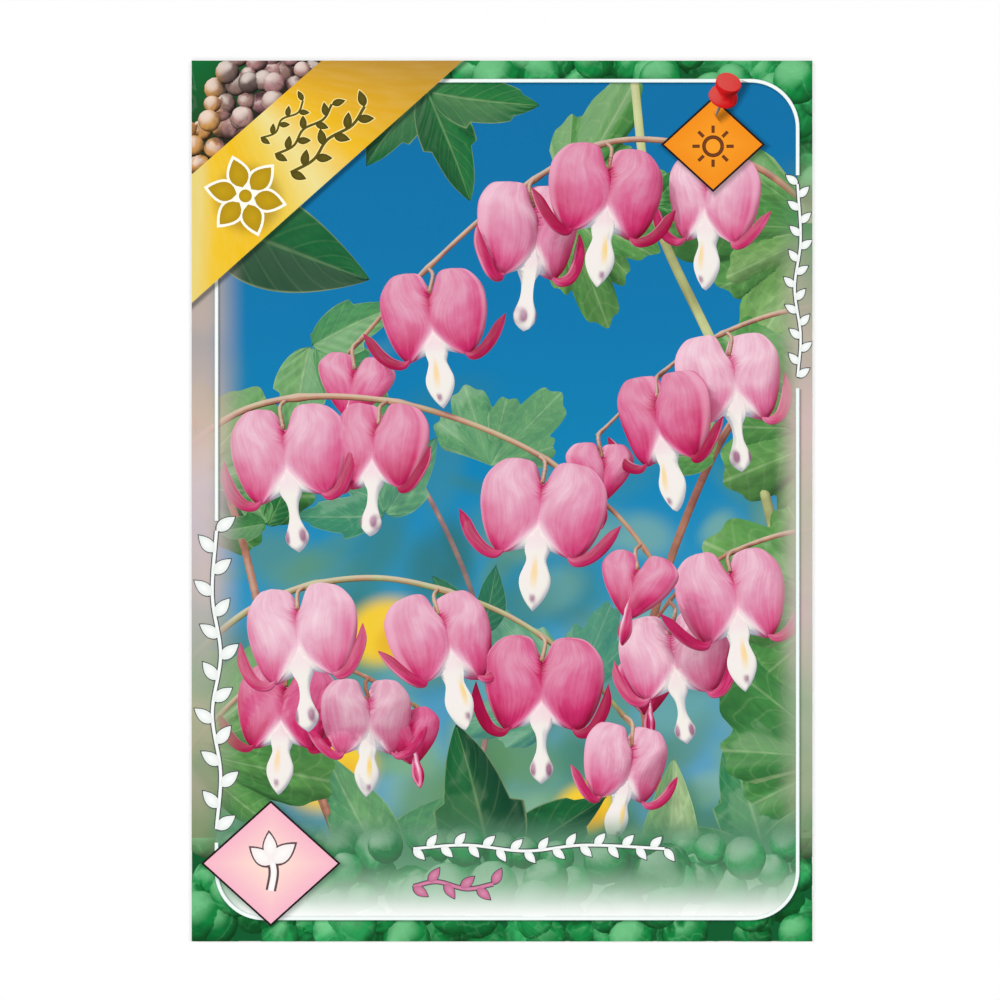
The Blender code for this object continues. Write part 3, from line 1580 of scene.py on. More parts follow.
def poly_curve(line: np.ndarray, radii: np.ndarray | None = None) -> bpy.types.Curve:
    """Makes a curve of straight steps.

    Args:
        line: its points.
        radii: its radius at each point, where it has any.

    Returns:
        The curve.
    """
    curve = bpy.data.curves.new("line", "CURVE")
    curve.dimensions = "3D"
    points = curve.splines.new("POLY").points
    points.add(len(line) - 1)
    points.foreach_set("co", np.column_stack([line, np.ones(len(line))]).astype(np.float32).ravel())
    if radii is not None:
        points.foreach_set("radius", radii.astype(np.float32))
    return curve


@dataclass(frozen=True)
class HungFlower:
    """One flower of a raceme: its middle, turn, size and shape, where it hangs, and its own pink."""

    middle: Vector
    turn: Euler
    size: float
    shape: int
    root: Vector
    own: float

    def stalk(self) -> np.ndarray:
        """Gives the short stalk from the stem to the flower's notch.

        Returns:
            The stalk's line.
        """
        root = self.root
        notch = self.middle + self.turn.to_matrix() @ Vector((0, 0.25 * self.size, 0.10 * self.size))
        sag = (root + notch) / 2
        sag.x += 0.175 * (notch.y - root.y) * (1 if notch.x < root.x else -1)
        sag.y = root.y - 0.30 * (root.y - notch.y)
        return bend_through([tuple(root), tuple(sag), tuple(notch)], 12)


@dataclass
class Raceme:
    """An arching stem and the flowers that hang from it, all in millimetres."""

    path: list[Place]
    spots: list[float]
    sizes: list[float]
    hang: float
    seed: int
    tint: float
    thick: float

    def line(self) -> np.ndarray:
        """Gives the stem's smooth line."""
        return bend_through(self.path, 60)

    def flowers(self) -> list[HungFlower]:
        """Places the flowers.

        Returns:
            The flowers, from the stem's start to its end.
        """
        draw = np.random.default_rng(self.seed)
        line = self.line()
        result: list[HungFlower] = []
        for share, size in zip(self.spots, self.sizes):
            root = Vector(line[int(share * (len(line) - 1))])
            yaw = draw.uniform(-0.75, 0.75)
            roll = draw.uniform(-0.16, 0.16)
            pitch = draw.uniform(-0.25, 0.10)
            drop = self.hang * draw.uniform(0.75, 1.25)
            kind = FlowerKind.BUD.value if size < BUD_SIZE else int(draw.integers(0, 2))
            forward = 4.0 * (len(result) % 2)
            notch = root + Vector((draw.uniform(-1.2, 1.2), -drop, draw.uniform(1.0, 3.0) + forward))
            shape = VARIANTS * kind + (self.seed + len(result)) % VARIANTS
            turn = Euler((pitch, yaw, roll))
            middle = notch - turn.to_matrix() @ Vector((0, 0.26 * size, 0))
            result.append(HungFlower(middle, turn, size, shape, root, float(draw.uniform(0, 1))))
        return result

    def stems(self) -> list[Stem]:
        """Lists the stem, swollen where a flower hangs, and the flowers' stalks.

        Returns:
            The stems.
        """
        line = self.line()
        share = np.linspace(0, 1, len(line))
        knots = sum(bump(share, spot, 0.014) for spot in self.spots)
        stems = [Stem(line, self.thick * (1 - 0.45 * share) * (1 + 0.4 * knots), self.tint)]
        for flower in self.flowers():
            stalk = flower.stalk()
            stems.append(Stem(stalk, np.linspace(0.30, 0.38, len(stalk)), self.tint * 0.6))
        return stems


# Leaves


class LeafForm(Enum):
    """Outline of a leaflet."""

    POINTED = 1
    LOBED = 2


@dataclass
class Leaflet:
    """One leaflet that grows along +Y from the origin and faces +Z, in millimetres."""

    length: float
    width: float
    form: LeafForm = LeafForm.POINTED
    fold: float = 0.25
    droop: float = 0.15
    tint: float = 0.4
    lobes: float = 0.0
    seed: int = 1

    def pointed(self) -> Relief:
        """Builds a blade with a midrib, side veins and a pointed tip.

        Returns:
            The blade.
        """
        draw = np.random.default_rng(self.seed)
        rows, columns = 34, 15
        t, s = np.meshgrid(np.linspace(0, 1, rows), np.linspace(-1, 1, columns), indexing="ij")
        half = 0.5 * self.width * np.sin(math.pi * np.clip(t, 0, 1) ** 0.62) ** 0.85
        saw = np.mod(t * self.lobes + 0.08 * np.sign(s), 1.0)
        teeth = 1 + (0.30 * saw**1.5 - 0.10) * s**2 * ease(1.0, 0.75, t) * (self.lobes > 0)
        wave = draw.uniform(0, 6)
        x = s * half * teeth + 0.05 * self.length * np.sin(2.2 * t + wave)
        y = self.length * (t + 0.10 * np.abs(s) * (1 - t) * t)
        crown = self.fold * np.abs(s) * half - 0.32 * self.fold * s**2 * half
        # The blade swells between its side veins, which LeafInk draws at the same places.
        swell = np.sin(2 * math.pi * (7 * t - 1.9 * np.abs(s))) * np.abs(s) * (1 - np.abs(s))
        quilt = 0.072 * self.width * swell
        flutter = 0.05 * self.width * np.sin(8 * t + 2.2 * np.sign(s) + wave) * s**2
        z = crown + quilt + flutter - self.droop * self.length * t**2
        return self.skin((x, y, z), t, s, draw)

    def lobed(self) -> Relief:
        """Builds a blade whose veins spread from its base into pointed lobes.

        Returns:
            The blade.
        """
        draw = np.random.default_rng(self.seed)
        rows, columns = 18, 61
        r, turn = np.meshgrid(np.linspace(0.0, 1, rows), np.linspace(-1.5, 1.5, columns), indexing="ij")
        tips = (-0.95, 0.0, 0.95)
        longest = (0.78, 1.0, 0.76)
        angle = turn[0]
        reach = 0.66 * np.cos(angle / 1.5 * 1.3) + 0.08
        for place, size in zip(tips, longest):
            size = size * draw.uniform(0.92, 1.08)
            reach = np.maximum(reach, size * np.clip(1 - (np.abs(angle - place) / 0.78) ** 2.2, 0, 1) ** 0.42)
        reach = reach * (1 + 0.025 * np.sin(17 * angle + draw.uniform(0, 6)))
        x = self.width * 0.66 * r * reach * np.sin(turn * 0.86)
        y = self.length * r * reach * np.cos(turn * 0.66)
        near = np.min([np.abs(angle - place) for place in tips], axis=0)
        valley = -0.055 * self.width * r * ease(0.0, 0.48, near)[None, :]
        z = valley + self.fold * np.abs(x) * 0.35 - self.droop * self.length * r**2
        z = z + 0.03 * self.width * np.sin(3 * turn + draw.uniform(0, 6)) * r**2
        return self.skin((x, y, z), r, np.clip(near / 0.48, 0, 1)[None, :] * np.ones_like(r), draw)

    def skin(
        self,
        grid: tuple[np.ndarray, np.ndarray, np.ndarray],
        along: np.ndarray,
        across: np.ndarray,
        draw: np.random.Generator,
    ) -> Relief:
        """Makes the blade's surface from its grid.

        Args:
            grid: the x, y and z of its points.
            along: their places from its root to its tip.
            across: their places from its rib to its edges.
            draw: what its own number is drawn from.

        Returns:
            The blade.
        """
        rows, columns = along.shape
        points = np.column_stack([axis.ravel() for axis in grid])
        tint = np.clip(self.tint + 0.10 * (1 - np.abs(across.ravel())), 0, 1)
        marks = {"along": along.ravel(), "across": across.ravel(), "tint": tint, "blush": draw.uniform(0, 1)}
        return Relief(points, grid_faces(rows, columns, False), marks).upward()

    def build(self) -> Relief:
        """Builds the blade in its form."""
        return self.lobed() if self.form is LeafForm.LOBED else self.pointed()


@dataclass
class LeafSpray:
    """A leaf of one or more leaflets on a stalk."""

    place: Place
    heading: float
    length: float
    blades: int = 3
    form: LeafForm = LeafForm.POINTED
    tint: float = 0.4
    tilt: float = 0.2
    haze: float = 0.0
    seed: int = 1
    broad: float = 0.62

    def build(self) -> Relief:
        """Builds the leaflets in place.

        Returns:
            The leaf.
        """
        draw = np.random.default_rng(self.seed)
        parts = []
        spread = math.radians(62)
        for index in range(self.blades):
            offset = index - (self.blades - 1) / 2
            length = self.length * (1 - 0.14 * abs(offset)) * draw.uniform(0.92, 1.08)
            leaflet = Leaflet(
                length,
                length * self.broad,
                self.form,
                draw.uniform(0.15, 0.5),
                draw.uniform(0.02, 0.22),
                self.tint + draw.uniform(-0.12, 0.12),
                float(draw.choice((0.0, 2.0, 2.6))),
                self.seed * 17 + index,
            )
            turn = Matrix.Translation(Vector(self.place))
            turn = turn @ Matrix.Rotation(math.radians(self.heading) + offset * spread, 4, "Z")
            turn = turn @ Matrix.Rotation(self.tilt * draw.uniform(-1.6, 1.6), 4, "Y")
            turn = turn @ Matrix.Rotation(self.tilt * draw.uniform(-1.0, 1.0), 4, "X")
            relief = leaflet.build().moved(turn)
            relief.points[:, 2] += 1.1 * index
            relief.marks["haze"][:] = self.haze
            parts.append(relief)
        return Relief.joined(parts)


# Light and print


class Exposure:
    """Lights the picture once, in depth, and stores the light as each point's tone."""

    def __init__(self, parts: list[Relief]) -> None:
        """Gathers what throws a shade, and draws the rays.

        Args:
            parts: every part that does, the one made of closed skins first.
        """
        whole = Relief.joined(parts)
        self.closed = len(parts[0].faces)
        self.tree = BVHTree.FromPolygons(whole.points.tolist(), whole.faces.tolist())
        rays = np.random.default_rng(11).normal(size=(RAYS, 3))
        self.rays = [Vector(ray) for ray in rays / np.linalg.norm(rays, axis=1, keepdims=True)]

    def reach(self, start: Vector, direction: Vector, limit: float) -> float:
        """Follows a ray. A point just inside another skin looks out of it, so a skin's back is passed.

        Args:
            start: where the ray starts.
            direction: its direction.
            limit: its length.

        Returns:
            The share of its length that it gets before something stops it.
        """
        _, normal, face, distance = self.tree.ray_cast(start, direction, limit)
        if normal is None:
            return 1.0
        if normal.dot(direction) > 0 and (face < self.closed or distance < BACK_REACH):
            return 1.0
        return min(0.999, distance / limit)

    def light(self, relief: Relief) -> Relief:
        """Works out the tone of every point.

        Args:
            relief: the part to light.

        Returns:
            The same part, with its tone set.
        """
        _, normals = relief.normals()
        tones = np.empty(len(relief.points))
        keys = [(KEY_LIGHT + ray * KEY_SPREAD).normalized() for ray in self.rays[:2]]
        for index, (point, normal) in enumerate(zip(relief.points, normals)):
            away = Vector(normal)
            start = Vector(point) + away * RAY_START
            key = max(0.0, (away.dot(KEY_LIGHT) + KEY_WRAP) / (1 + KEY_WRAP))
            shadow = 0.0
            if key > 0:
                shadow = sum(0.5 for direction in keys if self.reach(start, direction, SHADOW_REACH) < 1.0)
            ways = [(away * OUTWARD_PULL + ray).normalized() for ray in self.rays]
            open_sky = sum(self.reach(start, way, SHADE_REACH) for way in ways) / len(ways)
            # More of the fill comes from above and from the front.
            fill = (0.5 + 0.28 * away.y + 0.22 * away.z) * open_sky
            tones[index] = FILL_STRENGTH * fill + KEY_STRENGTH * key * (1 - SHADOW_DEPTH * shadow)
        relief.marks["tone"] = np.clip(tones, 0, 1)
        return relief


def lit_alone(relief: Relief) -> Relief:
    """Lights what shows of a part that only shades itself."""
    return Exposure([relief]).light(relief.facing())


class InkLayer(Enum):
    """Heights of the printed layers above the board's front, in millimetres, and their depth."""

    UNDER = (0.003, 0.0)
    BORDER = (0.006, 0.00030)
    GROUND = (0.012, 0.0)
    PICTURE = (0.034, 0.00040)
    PANEL_GROUND = (0.050, 0.0)
    PANEL = (0.054, 0.00030)
    LINE_SHADOW = (0.058, 0.0)
    LINE = (0.060, 0.0)
    CORNER_GROUND = (0.062, 0.0)
    CORNER = (0.066, 0.00030)
    BAND_SHADOW = (0.070, 0.0)
    BAND = (0.072, 0.0)
    BADGE_SHADOW = (0.074, 0.0)
    BADGE_RIM = (0.076, 0.0)
    BADGE = (0.078, 0.0)
    MOTIF_SHADOW = (0.080, 0.0)
    MOTIF_RIM = (0.082, 0.0001)
    MOTIF = (0.084, 0.0001)
    PIN_SHADOW = (0.086, 0.0)
    PIN = (0.090, 0.00050)


class Press:
    """Presses finished reliefs onto the card's front as pieces of the part."""

    def __init__(self) -> None:
        """Finds the board's front and prepares the node groups."""
        self.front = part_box("card")[1][2] / MM
        self.effects = PrintEffects()
        self.inks: dict[PrintFinish, Material] = {}
        self.stem = stem_group()
        self.hanging = hanging_group()
        self.pile = pile_group()
        self.vine = vine_group()

    def mesh(self, name: str, relief: Relief, layer: InkLayer, finish: PrintFinish) -> Mesh:
        """Makes the mesh of one printed piece.

        Args:
            name: the piece's name.
            relief: its shape in millimetres.
            layer: the layer of ink that it lies in.
            finish: its ink.

        Returns:
            The mesh, with its material.
        """
        height, squeeze = layer.value
        mesh = relief.mesh(name, self.front + height, squeeze, MM)
        if finish not in self.inks:
            self.inks[finish] = finish.material(self.effects)
        mesh.materials.append(self.inks[finish])
        return mesh

    def lay(self, name: str, relief: Relief, layer: InkLayer, finish: PrintFinish) -> None:
        """Prints one piece."""
        self.place(name, self.mesh(name, relief, layer, finish))

    @staticmethod
    def place(name: str, mesh: Mesh) -> None:
        """Adds a mesh to the part, riding on the card.

        Args:
            name: the piece's name.
            mesh: its mesh.
        """
        piece = bpy.data.objects.new(name, mesh)
        bpy.context.scene.collection.objects.link(piece)
        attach(piece, "root")
        # Ink has no thickness, so its layers throw no shadow on each other.
        piece.visible_shadow = False
        LOG.info("%s: %d faces", name, len(mesh.polygons))


def shapes_collection(name: str, reliefs: list[Relief]) -> bpy.types.Collection:
    """Puts unit shapes in a collection that only the node trees use.

    Args:
        name: the collection's name.
        reliefs: the shapes.

    Returns:
        The collection.
    """
    collection = bpy.data.collections.new(name)
    for index, relief in enumerate(reliefs):
        label = f"{name}_{index}"
        collection.objects.link(bpy.data.objects.new(label, relief.mesh(label)))
    return collection


# Flat shapes


def strip(path: np.ndarray, width: float, columns: int = 3) -> Relief:
    """Lays a flat ribbon along a line.

    Args:
        path: the line's points.
        width: the ribbon's width.
        columns: points across it.

    Returns:
        The ribbon, whose across is 0 in its middle and 1 at its edges.
    """
    ahead = np.gradient(path[:, :2], axis=0)
    ahead /= np.linalg.norm(ahead, axis=1, keepdims=True)
    side = np.column_stack([-ahead[:, 1], ahead[:, 0]])
    share = np.linspace(-1, 1, columns)
    points = path[:, None, :2] + side[:, None] * (share[None, :, None] * width / 2)
    flat = np.column_stack([points.reshape(-1, 2), np.zeros(len(path) * columns)])
    along = np.repeat(np.linspace(0, 1, len(path)), columns)
    marks = {"along": along, "across": np.tile(np.abs(share), len(path))}
    return Relief(flat, grid_faces(len(path), columns, False), marks).upward()


def disc(centre: Spot | np.ndarray, outline: np.ndarray, rings: int = 6) -> Relief:
    """Fills an outline from its middle.

    Args:
        centre: the middle.
        outline: the outline's points.
        rings: rings of points on the way out.

    Returns:
        The flat shape, whose across is 0 in the middle and 1 at the edge.
    """
    count = len(outline)
    middle = np.array(centre)
    share = np.arange(1, rings + 1) / rings
    flat = np.vstack([middle, (middle + (outline - middle) * share[:, None, None]).reshape(-1, 2)])
    first = 1 + np.arange(count)
    fan = np.column_stack([np.zeros(count, dtype=int), np.roll(first, -1), first])
    faces = np.vstack([fan, 1 + grid_faces(rings, count, True)])
    across = np.concatenate([(0.0,), np.repeat(share, count)])
    return Relief(np.column_stack([flat, np.zeros(len(flat))]), faces, {"across": across}).upward()


def circle(centre: Spot, radius: float, count: int) -> np.ndarray:
    """Gives the outline of a circle, anticlockwise from its right side."""
    turn = np.linspace(0, 2 * math.pi, count, endpoint=False)
    return np.array(centre) + radius * np.column_stack([np.cos(turn), np.sin(turn)])


def diamond(centre: Spot, wide: float, high: float, steps: int = 6) -> np.ndarray:
    """Gives the outline of a standing diamond.

    Args:
        centre: its middle.
        wide: its half width.
        high: its half height.
        steps: points on each side.

    Returns:
        The outline, anticlockwise from the right tip.
    """
    tips = np.array([(wide, 0.0), (0.0, high), (-wide, 0.0), (0.0, -high)])
    share = np.arange(steps)[:, None] / steps
    sides = [a + (b - a) * share for a, b in zip(tips, np.roll(tips, -1, axis=0))]
    return np.vstack(sides) + np.array(centre)


@dataclass
class Petal:
    """A flat pointed leaf or petal that grows from its root, with a heading of 0 up the card."""

    root: Spot
    heading: float
    length: float
    width: float

    def outline(self) -> np.ndarray:
        """Gives the outline.

        Returns:
            Its points, from the root up the right side and back down the left.
        """
        share = np.linspace(0, 1, 9)
        half = 0.5 * self.width * np.sin(math.pi * share**0.8) ** 0.9
        right = np.column_stack([half, share * self.length])
        x, y = np.vstack([right, (right * (-1, 1))[::-1][1:-1]]).T
        turn = math.radians(self.heading)
        turned = (x * math.cos(turn) - y * math.sin(turn), x * math.sin(turn) + y * math.cos(turn))
        return np.column_stack(turned) + np.array(self.root)

    def build(self, size: float = 1.0, rings: int = 3) -> Relief:
        """Fills the outline, swollen from its middle by a size.

        Args:
            size: how much larger than the outline the shape is.
            rings: rings of points on the way out.

        Returns:
            The flat shape.
        """
        outline = self.outline()
        middle = outline.mean(axis=0)
        return disc(middle, middle + (outline - middle) * size, rings)


def lathe(heights: list[float] | np.ndarray, radii: list[float] | np.ndarray, sides: int) -> Relief:
    """Turns a profile round +Z.

    Args:
        heights: its heights from the foot to the tip.
        radii: its radius at each height, which isn't read for the first and the last.
        sides: points round it.

    Returns:
        The closed skin, whose across runs round it.
    """
    turn = np.linspace(0, 2 * math.pi, sides, endpoint=False)
    rings = [
        np.column_stack([radius * np.cos(turn), radius * np.sin(turn), np.full(sides, height)])
        for height, radius in zip(heights[1:-1], radii[1:-1])
    ]
    points = np.vstack([*rings, [[0, 0, heights[0]]], [[0, 0, heights[-1]]]])
    across = np.concatenate([np.tile(np.sin(turn), len(rings)), (0.0, 0.0)])
    relief = Relief(points, tube_faces(len(rings), sides), {"across": across})
    middle = np.array([0, 0, (heights[0] + heights[-1]) / 2])
    if np.sum(relief.normals()[1] * (points - middle)) < 0:
        relief.faces = relief.faces[:, ::-1]
    return relief


# The picture's parts


@dataclass(frozen=True)
class Blot:
    """A soft oval of colour, out of focus: its middle, half sizes, turn, colour, strength and softness."""

    centre: Spot
    size: Spot
    turn: float
    colour: Colour
    strength: float
    soft: float

    def over(self, paint: np.ndarray, points: np.ndarray) -> None:
        """Lays the oval over the paint.

        Args:
            paint: the colour at every point, which is changed.
            points: the points.
        """
        dx, dy = points[:, 0] - self.centre[0], points[:, 1] - self.centre[1]
        u = (dx * math.cos(self.turn) + dy * math.sin(self.turn)) / self.size[0]
        v = (-dx * math.sin(self.turn) + dy * math.cos(self.turn)) / self.size[1]
        share = self.strength * ease(1 + self.soft, 1 - self.soft, np.sqrt(u * u + v * v))
        paint += (np.array(self.colour) - paint) * share[:, None]


@dataclass
class Ground:
    """The picture's ground: blue, lighter towards the foot, with soft blots of greenery."""

    seed: int = 5
    step: float = 0.75
    blots: int = 160

    def paint(self, points: np.ndarray) -> np.ndarray:
        """Works out the paint.

        Args:
            points: the ground's points.

        Returns:
            The colour at every point.
        """
        draw = np.random.default_rng(self.seed)
        blues = {
            -75.0: ink(104, 158, 170),
            -45.0: ink(88, 154, 186),
            -15.0: ink(40, 142, 186),
            5.0: ink(0, 128, 178),
            30.0: ink(0, 118, 172),
            65.0: ink(0, 110, 164),
        }
        bands = zip(*blues.values())
        paint = np.column_stack([np.interp(points[:, 1], list(blues), band) for band in bands])
        greens = [ink(94, 143, 95), ink(60, 120, 90), ink(120, 170, 130), ink(44, 100, 78)]
        greens += [ink(140, 184, 150), ink(78, 140, 120)]
        for _ in range(self.blots):
            level = draw.beta(1.1, 2.2)
            centre = (draw.uniform(-52, 52), -62 + 95 * level)
            length = draw.uniform(3.0, 9.0)
            colour = greens[int(draw.integers(0, len(greens)))]
            strength = draw.uniform(0.40, 0.95) * (1 - 0.8 * level)
            size = (length, length * draw.uniform(0.3, 0.7))
            Blot(centre, size, draw.uniform(0, 3.1), colour, strength, 0.55).over(paint, points)
        # Yellow flowers out of focus, each with a deeper heart.
        for x, y, size in ((-20.0, -22.0, 6.5), (-29.0, -46.0, 7.5), (14.0, -52.0, 5.0)):
            Blot((x, y), (size, size * 0.8), 0.4, ink(246, 204, 40), 0.95, 0.35).over(paint, points)
            heart = Blot((x + 1.5, y - 1.5), (size * 0.5, size * 0.35), 0.9, ink(222, 160, 30), 0.6, 0.6)
            heart.over(paint, points)
        return paint

    def lay(self, press: Press) -> None:
        """Lays the ground over the picture's areas.

        Args:
            press: what prints it.
        """
        rows = int((CARD.top - CARD.bottom) / self.step) + 1
        columns = int((CARD.right - CARD.left) / self.step) + 1
        whole = CARD.sheet(rows, columns).within(*PICTURE)
        mesh = press.mesh("picture_ground", whole, InkLayer.GROUND, SkyInk("sky_ink"))
        layer = mesh.color_attributes.new("paint", "FLOAT_COLOR", "POINT")
        colours = np.column_stack([self.paint(whole.points), np.ones(len(whole.points))])
        layer.data.foreach_set("color", colours.astype(np.float32).ravel())
        press.place("picture_ground", mesh)


@dataclass
class Plant:
    """The flowering plant of the picture: racemes, thick stems and leaves."""

    racemes: list[Raceme]
    sprays: list[LeafSpray]
    stems: list[Stem]
    sides: int = 10

    def flowers(self, tree: NodeTree) -> Relief:
        """Hangs the flowers on their racemes with geometry nodes.

        Args:
            tree: the hanging tree.

        Returns:
            All the flowers.
        """
        kinds = [(kind, 3 + 7 * variant) for kind in FlowerKind for variant in range(VARIANTS)]
        shapes = shapes_collection("heart", [HeartFlower(kind, seed).build() for kind, seed in kinds])
        flowers = [flower for raceme in self.racemes for flower in raceme.flowers()]
        mesh = bpy.data.meshes.new("places")
        mesh.from_pydata([tuple(flower.middle) for flower in flowers], [], [])
        turns = [angle for flower in flowers for angle in flower.turn]
        mesh.attributes.new("turn", "FLOAT_VECTOR", "POINT").data.foreach_set("vector", turns)
        for label, kind, values in (
            ("size", "FLOAT", [flower.size for flower in flowers]),
            ("kind", "INT", [flower.shape for flower in flowers]),
            ("own", "FLOAT", [flower.own for flower in flowers]),
        ):
            mesh.attributes.new(label, kind, "POINT").data.foreach_set("value", values)
        return grown(mesh, tree, {"Shapes": shapes}, "flowers")

    def lay(self, press: Press) -> None:
        """Builds, lights and prints the flowers, stems and leaves.

        Args:
            press: what prints them.
        """
        flowers = self.flowers(press.hanging)
        lines = [stem for raceme in self.racemes for stem in raceme.stems()] + self.stems
        grown_stems = [stem.build(press.stem, self.sides, number) for number, stem in enumerate(lines)]
        stems = Relief.joined(grown_stems)
        leaves = Relief.joined([spray.build() for spray in self.sprays])
        exposure = Exposure([flowers, stems, leaves])
        for name, seen, finish in (
            ("heart_flowers", flowers.facing(), PetalInk("petal_ink")),
            ("flower_stems", stems.facing(), StemInk("stem_ink")),
            ("leaf_sprays", leaves, LeafInk("leaf_ink")),
        ):
            press.lay(name, exposure.light(seen).within(*PICTURE), InkLayer.PICTURE, finish)


@dataclass
class Bulb:
    """A round bulb with a short point, about a unit across."""

    point: float
    sides: int = 14
    rings: int = 8
    half_height: float = 0.44

    def build(self) -> Relief:
        """Builds the bulb as a turned shape along +Z.

        Returns:
            The bulb.
        """
        rise = np.sin(np.linspace(-math.pi / 2, math.pi / 2, self.rings + 2))
        heights = self.half_height * rise + self.point * np.maximum(0.0, rise) ** 5
        relief = lathe(heights, 0.5 * np.sqrt(1 - rise**2), self.sides)
        relief.marks["along"] = (relief.points[:, 2] + self.half_height) / 0.9
        return relief


@dataclass
class Heap:
    """A heap of bulbs over an area of the card."""

    corners: list[Spot]
    seed: int
    spacing: float
    sizes: Spot

    def build(self, tree: NodeTree) -> Relief:
        """Piles the bulbs with geometry nodes.

        Args:
            tree: the pile tree.

        Returns:
            The heap.
        """
        shapes = shapes_collection("bulb", [Bulb(point).build() for point in (0.10, 0.02, 0.18)])
        area = bpy.data.meshes.new("area")
        area.from_pydata([(x, y, 0.0) for x, y in self.corners], [], [tuple(range(len(self.corners)))])
        values = {"Shapes": shapes, "Spacing": self.spacing, "Seed": self.seed}
        values["Smallest"], values["Largest"] = self.sizes
        return grown(area, tree, values, "heap")


@dataclass
class Border:
    """The green bulbs round the picture, over a green undercoat."""

    margin: float = 0.05
    radius: float = 0.3
    spacing: float = 3.2
    sizes: Spot = (5.4, 9.0)
    areas: tuple[Pane, ...] = (
        Pane(-54, 68, 54, 76),
        Pane(-54, -76, 54, -66),
        Pane(45, 38, 54, 68),
        Pane(-54, 38, -45, 68),
        Pane(45, -66, 54, -54),
        Pane(-54, -66, -45, -54),
    )

    def lay(self, press: Press) -> None:
        """Prints the undercoat and the bulbs.

        Args:
            press: what prints them.
        """
        under = disc((0.0, 0.0), CARD.inset(self.margin, self.radius).path()[:-1], 3)
        under.marks["across"][:] = 0.5
        coat = PlainInk("border_undercoat", heart=ink(10, 84, 44), edge=ink(6, 92, 44))
        press.lay("border_ground", under, InkLayer.UNDER, coat)
        heaps = [
            Heap(area.square(), seed, self.spacing, self.sizes).build(press.pile)
            for seed, area in enumerate(self.areas, start=4)
        ]
        lit = lit_alone(Relief.joined(heaps)).within(CARD)
        y = lit.points[:, 1]
        # The bulbs pale where the strips beside the picture begin.
        top, foot = ease(62, 42, y) * ease(0, 10, y), ease(-62, -57, y) * ease(0, -10, y)
        lit.marks["haze"] = 0.95 * top + 0.30 * foot
        press.lay("border_bulbs", lit, InkLayer.BORDER, BulbInk("green_bulb_ink"))


@dataclass
class CaptionPanel:
    """The pale panel at the picture's foot, with bulbs that fade into it."""

    wash: Pane = Pane(-50.0, -71.6, 51.0, -51.0)
    heap: Pane = Pane(-50, -74, 52, -57.5)
    spacing: float = 3.8
    sizes: Spot = (5.5, 10.0)
    seed: int = 21

    def lay(self, press: Press) -> None:
        """Prints the wash and its bulbs.

        Args:
            press: what prints them.
        """
        wash = self.wash.sheet(24, 40).within(FRAME)
        press.lay("panel_wash", wash, InkLayer.PANEL_GROUND, PanelInk("panel_ink"))
        heap = Heap(self.heap.square(), self.seed, self.spacing, self.sizes)
        lit = lit_alone(heap.build(press.pile)).within(FRAME)
        lit.marks["haze"] = np.clip(0.34 + 0.60 * ease(-58.0, -69.0, lit.points[:, 1]), 0, 1)
        press.lay("panel_bulbs", lit, InkLayer.PANEL, BulbInk("pale_bulb_ink", place=BulbPlace.PANEL))


@dataclass
class Corner:
    """The heap of brown bulbs in the corner above the band."""

    foot: float = 54.5
    reach: float = -29.8
    spacing: float = 2.1
    sizes: Spot = (2.7, 4.2)
    seed: int = 31

    def lay(self, press: Press) -> None:
        """Prints the ground and the heap.

        Args:
            press: what prints them.
        """
        tips = [(CARD.left, self.foot), (self.reach, CARD.top), (CARD.left, CARD.top)]
        outline = np.vstack([np.linspace(a, b, 8)[:-1] for a, b in zip(tips, tips[1:] + tips[:1])])
        under = PlainInk("corner_undercoat", heart=ink(8, 108, 50), edge=ink(38, 28, 26))
        press.lay("corner_ground", disc(tips[2], outline), InkLayer.CORNER_GROUND, under)
        area = [(-54, 52), (-26, 76), (-44.5, 76), (-48, 70), (-54, 64)]
        lit = lit_alone(Heap(area, self.seed, self.spacing, self.sizes).build(press.pile)).within(CARD)
        press.lay("corner_bulbs", lit, InkLayer.CORNER, BulbInk("brown_bulb_ink", place=BulbPlace.CORNER))


# Both ends of the band's lower and upper edges.
BAND_LOW = np.array([(-52.5, 33.5), (-6.6, 74.5)])
BAND_HIGH = np.array([(-52.5, 55.2), (-30.5, 74.5)])


def band_point(along: float, across: float) -> np.ndarray:
    """Finds a place on the corner band.

    Args:
        along: the share of its length, from its end at the card's left edge.
        across: the share of its width, from its lower edge.

    Returns:
        The place on the card.
    """
    low, high = (ends[0] + (ends[1] - ends[0]) * along for ends in (BAND_LOW, BAND_HIGH))
    return low + (high - low) * across


@dataclass
class Band:
    """The gold band over the corner, with its shadow."""

    rows: int = 60
    columns: int = 9
    shadow_width: float = 1.7
    shadow_shift: Spot = (0.25, -0.28)

    def lay(self, press: Press) -> None:
        """Prints the band and its shadow.

        Args:
            press: what prints them.
        """
        shares = [
            (along, across)
            for along in np.linspace(0, 1, self.rows)
            for across in np.linspace(0, 1, self.columns)
        ]
        flat = np.array([(*band_point(along, across), 0.0) for along, across in shares])
        along, across = np.array(shares).T
        marks = {"along": along, "across": across}
        band = Relief(flat, grid_faces(self.rows, self.columns, False), marks).upward()
        press.lay("corner_band", band, InkLayer.BAND, BandInk("gold_ink"))
        low = np.array([band_point(share, 0.0) for share in np.linspace(-0.1, 1.1, 30)])
        shadow = strip(low + np.array(self.shadow_shift), self.shadow_width, 7).within(CARD)
        dark = PlainInk("band_shadow_ink", heart=(0.0, 0.01, 0.01), thin=0.55)
        press.lay("band_shadow", shadow, InkLayer.BAND_SHADOW, dark)


